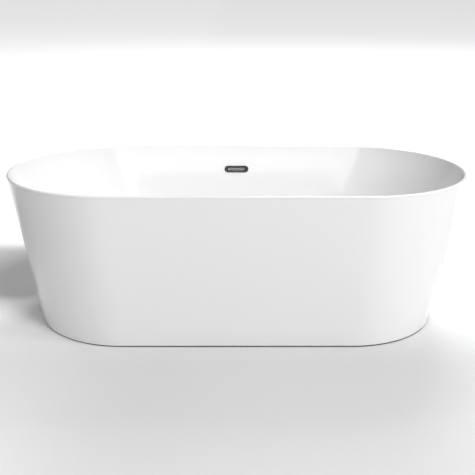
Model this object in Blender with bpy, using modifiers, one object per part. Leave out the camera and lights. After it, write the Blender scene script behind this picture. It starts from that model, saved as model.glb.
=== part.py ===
"""Freestanding acrylic bathtub: two skins on a steel frame with four levelling feet, a
click-clack waste in the floor and a slot overflow in the back wall.

Metres, +Z up. The origin is on the floor under the middle of the tub, +X runs along its
length, and the wall with the overflow is on the +Y side.
"""

import math

import bmesh
import bpy

GAP = 0.0003  # left between two pieces that touch

# Overall size, over the rim and from the floor.
LENGTH = 1.700
WIDTH = 0.800
HEIGHT = 0.560

# Outer skirt. It is widest under the rim and leans in towards the floor.
END_ROUND = 0.410  # how far each round end reaches past the straight sides
END_FLARE = math.radians(9.8)
SIDE_FLARE = math.radians(3.1)
SKIRT_STRAIGHT_TAPER = math.radians(3.1)  # the straight sides shorten towards the floor
SKIRT_WALL = 0.005
SKIRT_INSET = 0.0006  # the rim stands proud of the skirt by this
FLOOR_GAP = 0.004
SKIN_GAP = 0.0005  # between the two skins under the rim

# Inner basin.
BASIN_WALL = 0.005
END_SLOPE = math.radians(24.6)
SIDE_SLOPE = math.radians(11.0)
BASIN_STRAIGHT_TAPER = math.radians(21.5)
END_COVE = 0.200
SIDE_COVE = 0.100
BASIN_FLOOR = 0.125  # height of the inner floor at its edge
FLOOR_FALL = 0.004  # the floor drops by this to the flat round the drain
DRAIN_FLAT_LENGTH = 0.200
DRAIN_FLAT_WIDTH = 0.130

# Base board, rails, crossbars and the brackets that hold the skirt.
BOARD_THICKNESS = 0.012
BOARD_END_MARGIN = 0.060
BOARD_SIDE_MARGIN = 0.040
BOARD_DRAIN_HOLE_RADIUS = 0.050
TUBE_SIZE = 0.025
TUBE_WALL = 0.002
RAIL_INSET = 0.030  # rail centre from the edge of the board
RAIL_OVERHANG = 0.040  # rail end past the crossbar centre
CROSSBAR_INSET = 0.030  # crossbar centre from the end of the skirt's straight side
BRACKET_REACH = 0.070  # crossbar end to skirt
BRACKET_LAP = 0.030
BRACKET_WIDTH = 0.040
BRACKET_RISE = 0.030
BRACKET_THICKNESS = 0.002
BRACKET_CLEARANCE = 0.0005

# Screws.
WOOD_SCREW_RADIUS = 0.0025
WOOD_SCREW_BITE = 0.008  # how far a wood screw goes into the board
WOOD_SCREW_X = 0.200
METAL_SCREW_RADIUS = 0.0022
METAL_SCREW_LENGTH = 0.014
SCREW_HEAD_RADIUS = 0.0050
SCREW_HEAD_HEIGHT = 0.0030

# Levelling feet.
FOOT_INSET = 0.045  # foot centre from the end of its crossbar
STUD_RADIUS = 0.006
STUD_TOP_CLEARANCE = 0.016  # below the basin, so that the foot can be screwed in
THREAD_CLEARANCE = 0.0003
PAD_RADIUS = 0.025
PAD_THICKNESS = 0.008
PAD_BOSS_RADIUS = 0.013
PAD_HEIGHT = 0.020
SOCKET_DEPTH = 0.010
STUD_HEX_FLATS = 0.017
STUD_HEX_HEIGHT = 0.006
FOOT_NUT_FLANGE_RADIUS = 0.013
FOOT_NUT_FLANGE = 0.0025
FOOT_NUT_SLEEVE_RADIUS = 0.0085
FOOT_NUT_SLEEVE = 0.015
LOCK_NUT_FLATS = 0.019
LOCK_NUT_HEIGHT = 0.007

# Waste.
RECESS_RADIUS = 0.038
RECESS_DEPTH = 0.004
RECESS_BOSS_MARGIN = 0.006
DRAIN_TUBE_RADIUS = 0.0240
DRAIN_BORE_RADIUS = 0.0200
DRAIN_FLANGE_RADIUS = 0.0350
DRAIN_FLANGE = 0.0030
DRAIN_LENGTH = 0.045  # tube below its flange
DRAIN_CHAMFER = 0.0035
DRAIN_SEAL = 0.0015
DRAIN_WASHER = 0.0030
DRAIN_WASHER_RADIUS = 0.0340
DRAIN_NUT_FLATS = 0.062
DRAIN_NUT_HEIGHT = 0.009
HUB_RADIUS = 0.011
HUB_HEIGHT = 0.010
HUB_DEPTH = 0.024  # hub top below the flange's top
SPOKE_WIDTH = 0.003
CARTRIDGE_RADIUS = 0.006
CARTRIDGE_FLANGE_RADIUS = 0.009
CARTRIDGE_FLANGE = 0.0015
CARTRIDGE_LENGTH = 0.028
STEM_RADIUS = 0.004
STEM_BOTTOM_MARGIN = 0.0035  # stem end above the cartridge's lower end
CAP_RADIUS = 0.031
CAP_EDGE = 0.0025
CAP_CROWN = 0.0025
CAP_BOSS_RADIUS = 0.007
CAP_BOSS = 0.009
CAP_SOCKET = 0.006
PLUG_SEAL = 0.003
PLUG_SEAL_INNER_RADIUS = CAP_BOSS_RADIUS + GAP

# Tee, tailpiece and overflow pipe.
TEE_RADIUS = 0.029
TEE_DEPTH = 0.027  # tee top below the underside of the basin
TEE_HEIGHT = 0.044
TEE_SOCKET = 0.018
BRANCH_RADIUS = 0.0165
BRANCH_LENGTH = 0.070
BRANCH_SOCKET = 0.025
BRANCH_RISE = 0.0175  # branch centre above the tee's lower end
PIPE_RADIUS = 0.0125
PIPE_WALL = 0.0015
PIPE_BEND = 0.055
OUTLET_RADIUS = 0.0235
OUTLET_LENGTH = 0.018
TAIL_RADIUS = 0.0200
TAIL_WALL = 0.002
TAIL_ENTRY = 0.014  # tailpiece inside the tee's outlet
TAIL_END = 0.012  # height of the tailpiece's lower end
TAIL_NUT_RADIUS = 0.030
TAIL_NUT_HEIGHT = 0.016
TAIL_NUT_WALL = 0.003
PIPE_NUT_RADIUS = 0.0210
PIPE_NUT_LENGTH = 0.018
PIPE_NUT_COVER = 0.010  # nut over the branch

# Overflow.
OVERFLOW_DROP = 0.094  # slot centre below the rim
COVER_LENGTH = 0.100
COVER_HEIGHT = 0.028
COVER_THICKNESS = 0.0025
COVER_EDGE = 0.0008
SLOT_LENGTH = 0.068
SLOT_HEIGHT = 0.007
SLEEVE_LENGTH = 0.084
SLEEVE_HEIGHT = 0.017
GASKET = 0.0015
GASKET_MARGIN = 0.007
DUCT_WALL = 0.0018
DUCT_HALF_WIDTH = 0.055
DUCT_THROAT_HALF_WIDTH = 0.017
DUCT_ABOVE = 0.022  # duct top above the slot centre
DUCT_SHOULDER = 0.060  # where the duct starts to narrow, below the slot centre
DUCT_SKIRT_GAP = 0.001
SPIGOT_LENGTH = 0.025
SPIGOT_WALL = 0.0015
SPIGOT_CLEARANCE = 0.0015  # between the spigot and each skin

# Facets.
END_STEPS = 24  # round each end of a skin
COVE_STEPS = 7
ROLL_STEPS = 6
ROUND_STEPS = 24
SMALL_STEPS = 12
BEND_STEPS = 10

# Heights and reaches that several pieces share.
RIM_WIDTH = SKIRT_INSET + SKIRT_WALL / math.cos(END_FLARE) + SKIN_GAP + BASIN_WALL / math.cos(END_SLOPE)
RIM_EDGE = HEIGHT - RIM_WIDTH / 2  # where the rim's roll starts, and the tub is longest
RIM_STRAIGHT = LENGTH - 2 * END_ROUND
DRAIN_FLAT = BASIN_FLOOR - FLOOR_FALL
UNDERSIDE = DRAIN_FLAT - BASIN_WALL
BOARD_TOP = UNDERSIDE - GAP
RAIL_TOP = BOARD_TOP - BOARD_THICKNESS - GAP
CROSSBAR_TOP = RAIL_TOP - TUBE_SIZE - GAP
CROSSBAR_BOTTOM = CROSSBAR_TOP - TUBE_SIZE
RECESS_FLOOR = DRAIN_FLAT - RECESS_DEPTH
RECESS_UNDERSIDE = RECESS_FLOOR - BASIN_WALL
FLANGE_TOP = RECESS_FLOOR + 2 * GAP + DRAIN_SEAL + DRAIN_FLANGE
OVERFLOW_HEIGHT = HEIGHT - OVERFLOW_DROP

FINISHES = {
    "acrylic": ((0.92, 0.92, 0.91), 0.12, 0.0),
    "birch_board": ((0.55, 0.40, 0.24), 0.70, 0.0),
    "zinc_steel": ((0.60, 0.61, 0.62), 0.40, 1.0),
    "black_rubber": ((0.03, 0.03, 0.03), 0.75, 0.0),
    "bright_chrome": ((0.80, 0.80, 0.82), 0.08, 1.0),
    "dark_chrome": ((0.16, 0.16, 0.17), 0.22, 1.0),
    "brass": ((0.72, 0.52, 0.22), 0.30, 1.0),
    "white_plastic": ((0.80, 0.80, 0.79), 0.45, 0.0),
}


def new_collection(name):
    collection = bpy.data.collections.new(name)
    bpy.context.scene.collection.children.link(collection)
    return collection


def place(name, mesh, collection, at, turn, parent):
    thing = bpy.data.objects.new(name, mesh)
    thing.location = at
    thing.rotation_euler = turn
    thing.parent = parent
    collection.objects.link(thing)
    return thing


def add_piece(name, mesh, finish, at=(0, 0, 0), turn=(0, 0, 0), parent=None):
    """One sub-part of the tub, with a material of its own."""
    mesh.shade_smooth()
    mesh.set_sharp_from_angle(angle=math.radians(30))
    piece = place(name, mesh, PARTS, at, turn, parent)
    colour, roughness, metallic = FINISHES[finish]
    material = bpy.data.materials.new(f"{name}_{finish}")
    material.use_nodes = True
    shader = material.node_tree.nodes["Principled BSDF"]
    shader.inputs["Base Color"].default_value = (*colour, 1)
    shader.inputs["Roughness"].default_value = roughness
    shader.inputs["Metallic"].default_value = metallic
    mesh.materials.append(material)
    return piece


def combine(piece, mesh, operation, at=(0, 0, 0), turn=(0, 0, 0)):
    """Cut a shape out of a piece, or join one to it. The tool keeps the piece's parent."""
    count = len(piece.modifiers)
    tool = place(f"{piece.name}_tool_{count}", mesh, TOOLS, at, turn, piece.parent)
    tool.hide_render = True
    tool.display_type = "WIRE"
    step = piece.modifiers.new(f"{operation.lower()}_{count}", "BOOLEAN")
    step.operation = operation
    step.object = tool
    step.solver = "EXACT"


def cut(piece, mesh, at=(0, 0, 0), turn=(0, 0, 0)):
    combine(piece, mesh, "DIFFERENCE", at, turn)


def join(piece, mesh, at=(0, 0, 0), turn=(0, 0, 0)):
    combine(piece, mesh, "UNION", at, turn)


def mesh_of(shape, name):
    mesh = bpy.data.meshes.new(name)
    shape.to_mesh(mesh)
    shape.free()
    return mesh


def rod(radius, low, high, steps=ROUND_STEPS):
    """A cylinder on the Z axis, or a prism where steps is small."""
    shape = bmesh.new()
    bmesh.ops.create_cone(
        shape, cap_ends=True, cap_tris=False, segments=steps, radius1=radius, radius2=radius, depth=high - low
    )
    bmesh.ops.translate(shape, vec=(0, 0, (low + high) / 2), verts=shape.verts)
    return mesh_of(shape, "rod")


def hexagon(flats, low, high):
    return rod(flats / 2 / math.cos(math.radians(30)), low, high, 6)


def block(low, high):
    """A box between two corners."""
    shape = bmesh.new()
    bmesh.ops.create_cube(shape, size=1)
    bmesh.ops.scale(shape, vec=[b - a for a, b in zip(low, high)], verts=shape.verts)
    bmesh.ops.translate(shape, vec=[(a + b) / 2 for a, b in zip(low, high)], verts=shape.verts)
    return mesh_of(shape, "block")


def turned(name, profile, finish, steps=ROUND_STEPS, closed=True, **placing):
    """A profile of (radius, height) points turned about Z. It runs down its outer side."""
    mesh = bpy.data.meshes.new(name)
    points = [(radius, 0, height) for radius, height in profile]
    edges = [(i, i + 1) for i in range(len(points) - 1)]
    if closed:
        edges.append((len(points) - 1, 0))
    mesh.from_pydata(points, edges, [])
    piece = add_piece(name, mesh, finish, **placing)
    turn = piece.modifiers.new("turn", "SCREW")
    turn.steps = steps
    turn.render_steps = steps
    turn.use_merge_vertices = True
    turn.merge_threshold = 0.00001
    return piece


def ring_of(name, outer, inner, low, high, finish, steps=ROUND_STEPS, **placing):
    """A plain ring, such as a washer or a pipe."""
    profile = [(outer, high), (outer, low), (inner, low), (inner, high)]
    return turned(name, profile, finish, steps, **placing)


def oval(half_length, half_width, straight, height, steps=END_STEPS):
    """Points round a flat oval: two straight sides joined by half-ellipse ends."""
    points = []
    for side in (1, -1):
        for step in range(steps + 1):
            angle = math.pi * (step / steps - 0.5)
            x = side * (straight + (half_length - straight) * math.cos(angle))
            points.append((x, side * half_width * math.sin(angle), height))
    return points


def loft(rings, closed=False):
    """A closed skin through rings of as many points each. Its end rings are filled, or joined
    to each other where it is closed."""
    shape = bmesh.new()
    loops = [[shape.verts.new(point) for point in ring] for ring in rings]
    count = len(loops[0])
    uppers = loops[1:] + loops[:1] if closed else loops[1:]
    for lower, upper in zip(loops, uppers):
        for i in range(count):
            j = (i + 1) % count
            shape.faces.new((lower[i], lower[j], upper[j], upper[i]))
    if not closed:
        shape.faces.new(reversed(loops[0]))
        shape.faces.new(loops[-1])
    bmesh.ops.recalc_face_normals(shape, faces=shape.faces)
    return mesh_of(shape, "loft")


def slab(length, height, low, high, steps=SMALL_STEPS):
    """An obround plate, length along X, height along Y, between two Z levels."""
    straight = (length - height) / 2
    return loft([oval(length / 2, height / 2, straight, level, steps) for level in (low, high)])


# The two skins.


def skirt_reach(height, inset=0.0):
    """Half-length, half-width and half the straight side of the skirt's face at a height."""
    drop = RIM_EDGE - height
    half_length = LENGTH / 2 - drop * math.tan(END_FLARE) - inset / math.cos(END_FLARE)
    half_width = WIDTH / 2 - drop * math.tan(SIDE_FLARE) - inset / math.cos(SIDE_FLARE)
    straight = RIM_STRAIGHT / 2 - drop * math.tan(SKIRT_STRAIGHT_TAPER)
    return half_length, half_width, straight


def skirt_inner_width(height):
    return skirt_reach(height, SKIRT_INSET + SKIRT_WALL)[1]


def wall_reach(top, slope, cove, floor, height):
    """How far a leaning wall with a cove at its foot stands from the middle at a height."""
    centre_height = floor + cove
    if height >= centre_height - cove * math.sin(slope):
        return top - (RIM_EDGE - height) * math.tan(slope)
    centre = top - (RIM_EDGE - centre_height) * math.tan(slope) - cove / math.cos(slope)
    return centre + math.sqrt(max(cove**2 - (centre_height - height) ** 2, 0.0))


def basin_reach(height, wall=0.0):
    """Half-length, half-width and half the straight side of the basin at a height: its inner
    face, or with a wall its hidden face."""
    floor = UNDERSIDE if wall else BASIN_FLOOR
    long_top = LENGTH / 2 - RIM_WIDTH + wall / math.cos(END_SLOPE)
    wide_top = WIDTH / 2 - RIM_WIDTH + wall / math.cos(SIDE_SLOPE)
    half_length = wall_reach(long_top, END_SLOPE, END_COVE + wall, floor, height)
    half_width = wall_reach(wide_top, SIDE_SLOPE, SIDE_COVE + wall, floor, height)
    straight = RIM_STRAIGHT / 2 - (RIM_EDGE - height) * math.tan(BASIN_STRAIGHT_TAPER)
    return half_length, half_width, straight


def basin_heights(wall=0.0):
    """Heights from the floor up to the rim that follow the end cove's arc."""
    floor = UNDERSIDE if wall else BASIN_FLOOR
    sweep = math.pi / 2 - END_SLOPE
    cove = [
        floor + (END_COVE + wall) * (1 - math.cos(sweep * step / COVE_STEPS)) for step in range(COVE_STEPS + 1)
    ]
    return cove + [(cove[-1] + RIM_EDGE) / 2, RIM_EDGE]


def rim_roll():
    """The rim's half-round top, from its inner side to its outer side."""
    radius = RIM_WIDTH / 2
    rings = []
    for step in range(1, ROLL_STEPS + 1):
        angle = math.pi * (1 - step / ROLL_STEPS)
        inset = radius * (1 - math.cos(angle))
        height = RIM_EDGE + radius * math.sin(angle)
        rings.append(oval(LENGTH / 2 - inset, WIDTH / 2 - inset, RIM_STRAIGHT / 2, height))
    return rings


def overflow_frame():
    """Where the overflow's axis meets the inner face of the back wall, and the turn that
    points local +Z out of that wall."""
    at = (0, basin_reach(OVERFLOW_HEIGHT)[1], OVERFLOW_HEIGHT)
    return {"at": at, "turn": (math.pi / 2 - SIDE_SLOPE, 0, 0)}


def inner_basin():
    flat_straight = (DRAIN_FLAT_LENGTH - DRAIN_FLAT_WIDTH) / 2
    rings = [oval(DRAIN_FLAT_LENGTH / 2, DRAIN_FLAT_WIDTH / 2, flat_straight, DRAIN_FLAT)]
    rings += [oval(*basin_reach(height), height) for height in basin_heights()]
    rings += rim_roll()
    hidden = reversed(basin_heights(BASIN_WALL))
    rings += [oval(*basin_reach(height, BASIN_WALL), height) for height in hidden]
    basin = add_piece("inner_basin", loft(rings), "acrylic")
    boss_radius = RECESS_RADIUS + RECESS_BOSS_MARGIN
    join(basin, rod(boss_radius, RECESS_UNDERSIDE, UNDERSIDE + BASIN_WALL / 2))
    cut(basin, rod(RECESS_RADIUS, RECESS_FLOOR, BASIN_FLOOR))
    hole = DRAIN_TUBE_RADIUS + GAP
    cut(basin, rod(hole, RECESS_UNDERSIDE - BASIN_WALL, BASIN_FLOOR))
    slot = slab(SLEEVE_LENGTH + 2 * GAP, SLEEVE_HEIGHT + 2 * GAP, -3 * BASIN_WALL, 3 * BASIN_WALL)
    cut(basin, slot, **overflow_frame())


def outer_skirt():
    top, bottom = RIM_EDGE - GAP, FLOOR_GAP
    faces = [(top, SKIRT_INSET), (bottom, SKIRT_INSET)]
    faces += [(height, inset + SKIRT_WALL) for height, inset in reversed(faces)]
    rings = [oval(*skirt_reach(height, inset), height) for height, inset in faces]
    add_piece("outer_skirt", loft(rings, closed=True), "acrylic")


# Base board and frame.


def board_half_size():
    half_length, half_width, _ = basin_reach(UNDERSIDE, BASIN_WALL)
    return half_length - BOARD_END_MARGIN, half_width - BOARD_SIDE_MARGIN


def rail_y():
    return board_half_size()[1] - RAIL_INSET


def crossbar_x():
    return skirt_reach(CROSSBAR_TOP)[2] - CROSSBAR_INSET


def crossbar_half_length():
    return skirt_inner_width(CROSSBAR_BOTTOM) - BRACKET_REACH


def wood_screw_places():
    return [(x, y) for x in (-WOOD_SCREW_X, WOOD_SCREW_X) for y in (-rail_y(), rail_y())]


def base_board():
    half_length, half_width = board_half_size()
    rings = [
        oval(half_length, half_width, half_length - half_width, height)
        for height in (BOARD_TOP - BOARD_THICKNESS, BOARD_TOP)
    ]
    board = add_piece("base_board", loft(rings), "birch_board")
    low, high = BOARD_TOP - 2 * BOARD_THICKNESS, BOARD_TOP + BOARD_THICKNESS
    cut(board, rod(BOARD_DRAIN_HOLE_RADIUS, low, high))
    pilot_top = BOARD_TOP - BOARD_THICKNESS + WOOD_SCREW_BITE + 2 * GAP
    for x, y in wood_screw_places():
        cut(board, rod(WOOD_SCREW_RADIUS + GAP, low, pilot_top, SMALL_STEPS), at=(x, y, 0))


def square_tube(name, low, high, along):
    """A square tube between two corners, open at both ends of axis number along."""
    tube = add_piece(name, block(low, high), "zinc_steel")
    inner_low = [a + (-TUBE_WALL if axis == along else TUBE_WALL) for axis, a in enumerate(low)]
    inner_high = [b - (-TUBE_WALL if axis == along else TUBE_WALL) for axis, b in enumerate(high)]
    cut(tube, block(inner_low, inner_high))
    return tube


def frame_rails():
    half_length = crossbar_x() + RAIL_OVERHANG
    for name, y in (("rail_front", -rail_y()), ("rail_back", rail_y())):
        low = (-half_length, y - TUBE_SIZE / 2, RAIL_TOP - TUBE_SIZE)
        high = (half_length, y + TUBE_SIZE / 2, RAIL_TOP)
        rail = square_tube(name, low, high, 0)
        for x in (-WOOD_SCREW_X, WOOD_SCREW_X):
            hole = rod(WOOD_SCREW_RADIUS + GAP, low[2] - TUBE_WALL, high[2] + TUBE_WALL, SMALL_STEPS)
            cut(rail, hole, at=(x, y, 0))


def crossbars():
    half = TUBE_SIZE / 2
    for name, x in (("crossbar_left", -crossbar_x()), ("crossbar_right", crossbar_x())):
        low = (x - half, -crossbar_half_length(), CROSSBAR_BOTTOM)
        high = (x + half, crossbar_half_length(), CROSSBAR_TOP)
        bar = square_tube(name, low, high, 1)
        for side in (-1, 1):
            foot = (x, side * foot_y(), 0)
            sleeve_hole = rod(FOOT_NUT_SLEEVE_RADIUS + GAP, low[2] - TUBE_WALL, low[2] + 2 * TUBE_WALL)
            cut(bar, sleeve_hole, at=foot)
            stud_hole = rod(STUD_RADIUS + 3 * THREAD_CLEARANCE, high[2] - 2 * TUBE_WALL, high[2] + TUBE_WALL)
            cut(bar, stud_hole, at=foot)
            pilot = rod(METAL_SCREW_RADIUS + GAP, high[2] - 2 * TUBE_WALL, high[2] + TUBE_WALL, SMALL_STEPS)
            cut(bar, pilot, at=(x, side * bracket_screw_y(), 0))


def screw(name, radius, length, at, turn=(0, 0, 0)):
    """A pan-head screw whose head sits on Z = 0 and whose point is below it."""
    head = SCREW_HEAD_RADIUS
    profile = [
        (0, SCREW_HEAD_HEIGHT),
        (0.7 * head, SCREW_HEAD_HEIGHT),
        (head, SCREW_HEAD_HEIGHT / 2),
        (head, 0),
        (radius, 0),
        (radius, radius - length),
        (0, -length),
    ]
    turned(name, profile, "zinc_steel", SMALL_STEPS, closed=False, at=at, turn=turn)


def wood_screws():
    names = ("front_left", "back_left", "front_right", "back_right")
    seat = RAIL_TOP - TUBE_SIZE - GAP
    length = BOARD_TOP - BOARD_THICKNESS + WOOD_SCREW_BITE - seat
    for name, (x, y) in zip(names, wood_screw_places()):
        screw(f"wood_screw_{name}", WOOD_SCREW_RADIUS, length, (x, y, seat), (math.pi, 0, 0))


def bracket_screw_y():
    return crossbar_half_length() - BRACKET_LAP / 2


def skirt_bracket(name, x, side):
    """An angle bracket screwed to the end of a crossbar and bonded to the skirt."""
    seat = CROSSBAR_TOP + GAP
    face = skirt_inner_width(seat) - BRACKET_CLEARANCE / math.cos(SIDE_FLARE)
    near = crossbar_half_length() - BRACKET_LAP
    half = BRACKET_WIDTH / 2
    holder = bpy.data.objects.new(f"{name}_holder", None)
    holder.location = (x, 0, seat)
    holder.rotation_euler = (0, 0, 0 if side > 0 else math.pi)
    PARTS.objects.link(holder)
    lap = block((-half, near, 0), (half, face - BRACKET_THICKNESS / 2, BRACKET_THICKNESS))
    bracket = add_piece(name, lap, "zinc_steel", parent=holder)
    leg = block((-half, -BRACKET_THICKNESS, 0), (half, 0, BRACKET_RISE))
    join(bracket, leg, at=(0, face, 0), turn=(-SIDE_FLARE, 0, 0))
    hole = rod(METAL_SCREW_RADIUS + GAP, -BRACKET_THICKNESS, 2 * BRACKET_THICKNESS, SMALL_STEPS)
    cut(bracket, hole, at=(0, bracket_screw_y(), 0))


def brackets():
    for corner, x, side in corners():
        skirt_bracket(f"skirt_bracket_{corner}", x, side)
        at = (x, side * bracket_screw_y(), CROSSBAR_TOP + 2 * GAP + BRACKET_THICKNESS)
        screw(f"bracket_screw_{corner}", METAL_SCREW_RADIUS, METAL_SCREW_LENGTH, at)


# Levelling feet.


def corners():
    """Name, X and side of the four corners of the frame."""
    x = crossbar_x()
    return (
        ("front_left", -x, -1),
        ("front_right", x, -1),
        ("back_left", -x, 1),
        ("back_right", x, 1),
    )


def foot_y():
    return crossbar_half_length() - FOOT_INSET


def levelling_foot(corner, x, side):
    """A pad, the threaded stud that turns in it, the nut fixed in the crossbar and a lock nut."""
    axis = bpy.data.objects.new(f"foot_{corner}", None)
    axis.location = (x, side * foot_y(), 0)
    PARTS.objects.link(axis)
    bore = STUD_RADIUS + THREAD_CLEARANCE

    pad_profile = [
        (0, PAD_HEIGHT - SOCKET_DEPTH),
        (bore, PAD_HEIGHT - SOCKET_DEPTH),
        (bore, PAD_HEIGHT),
        (PAD_BOSS_RADIUS, PAD_HEIGHT),
        (PAD_BOSS_RADIUS, PAD_THICKNESS),
        (PAD_RADIUS, PAD_THICKNESS),
        (PAD_RADIUS, 0),
        (0, 0),
    ]
    turned(f"foot_pad_{corner}", pad_profile, "black_rubber", closed=False, parent=axis)

    stud_low = PAD_HEIGHT - SOCKET_DEPTH + GAP
    stud_high = UNDERSIDE - STUD_TOP_CLEARANCE
    stud_rod = rod(STUD_RADIUS, stud_low, stud_high, SMALL_STEPS)
    stud = add_piece(f"foot_stud_{corner}", stud_rod, "zinc_steel", parent=axis)
    join(stud, hexagon(STUD_HEX_FLATS, PAD_HEIGHT + GAP, PAD_HEIGHT + GAP + STUD_HEX_HEIGHT))

    seat = CROSSBAR_BOTTOM - GAP
    nut_profile = [
        (FOOT_NUT_SLEEVE_RADIUS, seat + FOOT_NUT_SLEEVE),
        (FOOT_NUT_SLEEVE_RADIUS, seat),
        (FOOT_NUT_FLANGE_RADIUS, seat),
        (FOOT_NUT_FLANGE_RADIUS, seat - FOOT_NUT_FLANGE),
        (bore, seat - FOOT_NUT_FLANGE),
        (bore, seat + FOOT_NUT_SLEEVE),
    ]
    turned(f"foot_nut_{corner}", nut_profile, "zinc_steel", parent=axis)

    lock_high = seat - FOOT_NUT_FLANGE - GAP
    lock_low = lock_high - LOCK_NUT_HEIGHT
    lock_hex = hexagon(LOCK_NUT_FLATS, lock_low, lock_high)
    lock = add_piece(f"lock_nut_{corner}", lock_hex, "zinc_steel", parent=axis)
    cut(lock, rod(bore, lock_low - LOCK_NUT_HEIGHT, lock_high + LOCK_NUT_HEIGHT, SMALL_STEPS))


# Waste.


def drain_body():
    """The flanged tube that clamps the basin floor, with a spider that holds the cartridge."""
    tube_bottom = FLANGE_TOP - DRAIN_FLANGE - DRAIN_LENGTH
    profile = [
        (DRAIN_FLANGE_RADIUS, FLANGE_TOP - DRAIN_FLANGE / 2),
        (DRAIN_FLANGE_RADIUS, FLANGE_TOP - DRAIN_FLANGE),
        (DRAIN_TUBE_RADIUS, FLANGE_TOP - DRAIN_FLANGE),
        (DRAIN_TUBE_RADIUS, tube_bottom),
        (DRAIN_BORE_RADIUS, tube_bottom),
        (DRAIN_BORE_RADIUS, FLANGE_TOP - DRAIN_CHAMFER),
        (DRAIN_BORE_RADIUS + DRAIN_CHAMFER, FLANGE_TOP),
        (DRAIN_FLANGE_RADIUS - DRAIN_FLANGE / 2, FLANGE_TOP),
    ]
    body = turned("drain_body", profile, "bright_chrome")
    hub_top = FLANGE_TOP - HUB_DEPTH
    hub_bottom = hub_top - HUB_HEIGHT
    reach = (DRAIN_BORE_RADIUS + DRAIN_TUBE_RADIUS) / 2
    half = SPOKE_WIDTH / 2
    join(body, block((-reach, -half, hub_bottom), (reach, half, hub_top - SPOKE_WIDTH)))
    join(body, block((-half, -reach, hub_bottom), (half, reach, hub_top - SPOKE_WIDTH)))
    join(body, rod(HUB_RADIUS, hub_bottom - GAP, hub_top))
    cut(body, rod(CARTRIDGE_RADIUS + GAP, hub_bottom - HUB_HEIGHT, hub_top + HUB_HEIGHT))


def drain_seals_and_nut():
    bore = DRAIN_TUBE_RADIUS + GAP
    seal_low = RECESS_FLOOR + GAP
    ring_of("drain_seal", DRAIN_FLANGE_RADIUS - GAP, bore, seal_low, seal_low + DRAIN_SEAL, "black_rubber")
    washer_top = RECESS_UNDERSIDE - GAP
    washer_low = washer_top - DRAIN_WASHER
    ring_of("drain_washer", DRAIN_WASHER_RADIUS, bore, washer_low, washer_top, "black_rubber")
    nut_top = washer_low - GAP
    nut_low = nut_top - DRAIN_NUT_HEIGHT
    nut = add_piece("drain_nut", hexagon(DRAIN_NUT_FLATS, nut_low, nut_top), "brass")
    cut(nut, rod(bore, nut_low - DRAIN_NUT_HEIGHT, nut_top + DRAIN_NUT_HEIGHT))


def plug_cartridge():
    """The sealed push-to-open mechanism that guides the plug's stem."""
    seat = FLANGE_TOP - HUB_DEPTH + GAP
    profile = [
        (CARTRIDGE_FLANGE_RADIUS, seat + CARTRIDGE_FLANGE),
        (CARTRIDGE_FLANGE_RADIUS, seat),
        (CARTRIDGE_RADIUS, seat),
        (CARTRIDGE_RADIUS, seat - CARTRIDGE_LENGTH),
        (STEM_RADIUS + GAP, seat - CARTRIDGE_LENGTH),
        (STEM_RADIUS + GAP, seat + CARTRIDGE_FLANGE),
    ]
    turned("plug_cartridge", profile, "brass")


def plug():
    """The domed cap, its seal and its stem, which rise together."""
    axis = bpy.data.objects.new("plug_axis", None)
    PARTS.objects.link(axis)
    low = FLANGE_TOP + GAP
    socket_radius = STEM_RADIUS + GAP
    profile = [
        (0, low + CAP_EDGE + CAP_CROWN),
        (0.45 * CAP_RADIUS, low + CAP_EDGE + 0.85 * CAP_CROWN),
        (0.80 * CAP_RADIUS, low + CAP_EDGE + 0.35 * CAP_CROWN),
        (CAP_RADIUS - CAP_EDGE / 2, low + CAP_EDGE),
        (CAP_RADIUS, low + CAP_EDGE / 2),
        (CAP_RADIUS, low),
        (CAP_BOSS_RADIUS, low),
        (CAP_BOSS_RADIUS, low - CAP_BOSS),
        (socket_radius, low - CAP_BOSS),
        (socket_radius, low - CAP_BOSS + CAP_SOCKET),
        (0, low - CAP_BOSS + CAP_SOCKET),
    ]
    turned("plug_cap", profile, "bright_chrome", closed=False, parent=axis)
    seal_top = low - GAP
    seal_radius = DRAIN_BORE_RADIUS - GAP
    ring_of(
        "plug_seal", seal_radius, PLUG_SEAL_INNER_RADIUS, seal_top - PLUG_SEAL, seal_top, "black_rubber", parent=axis
    )
    cartridge_bottom = FLANGE_TOP - HUB_DEPTH + GAP - CARTRIDGE_LENGTH
    stem_low = cartridge_bottom + STEM_BOTTOM_MARGIN
    stem_high = low - CAP_BOSS + CAP_SOCKET - GAP
    stem = rod(STEM_RADIUS, stem_low, stem_high)
    add_piece("plug_stem", stem, "brass", parent=axis)


# Pipework.


def tee_levels():
    top = UNDERSIDE - TEE_DEPTH
    bottom = top - TEE_HEIGHT
    return top, bottom, bottom + BRANCH_RISE


def waste_tee():
    """A push-on tee: the drain tube above, the overflow branch behind, the outlet below."""
    top, bottom, branch = tee_levels()
    tee = add_piece("waste_tee", rod(TEE_RADIUS, bottom, top), "white_plastic")
    back = {"at": (0, 0, branch), "turn": (-math.pi / 2, 0, 0)}
    join(tee, rod(BRANCH_RADIUS, 0, BRANCH_LENGTH), **back)
    join(tee, rod(OUTLET_RADIUS, bottom - OUTLET_LENGTH, bottom + OUTLET_LENGTH / 2))
    cut(tee, rod(DRAIN_TUBE_RADIUS + GAP, top - TEE_SOCKET, top + TEE_SOCKET))
    cut(tee, rod(TAIL_RADIUS - TAIL_WALL, bottom - 2 * OUTLET_LENGTH, top))
    cut(tee, rod(PIPE_RADIUS - PIPE_WALL, 0, 2 * BRANCH_LENGTH), **back)
    cut(tee, rod(PIPE_RADIUS + GAP, BRANCH_LENGTH - BRANCH_SOCKET, 2 * BRANCH_LENGTH), **back)
    socket_top = bottom - OUTLET_LENGTH + TAIL_ENTRY + GAP
    cut(tee, rod(TAIL_RADIUS + GAP, bottom - 2 * OUTLET_LENGTH, socket_top))


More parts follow.
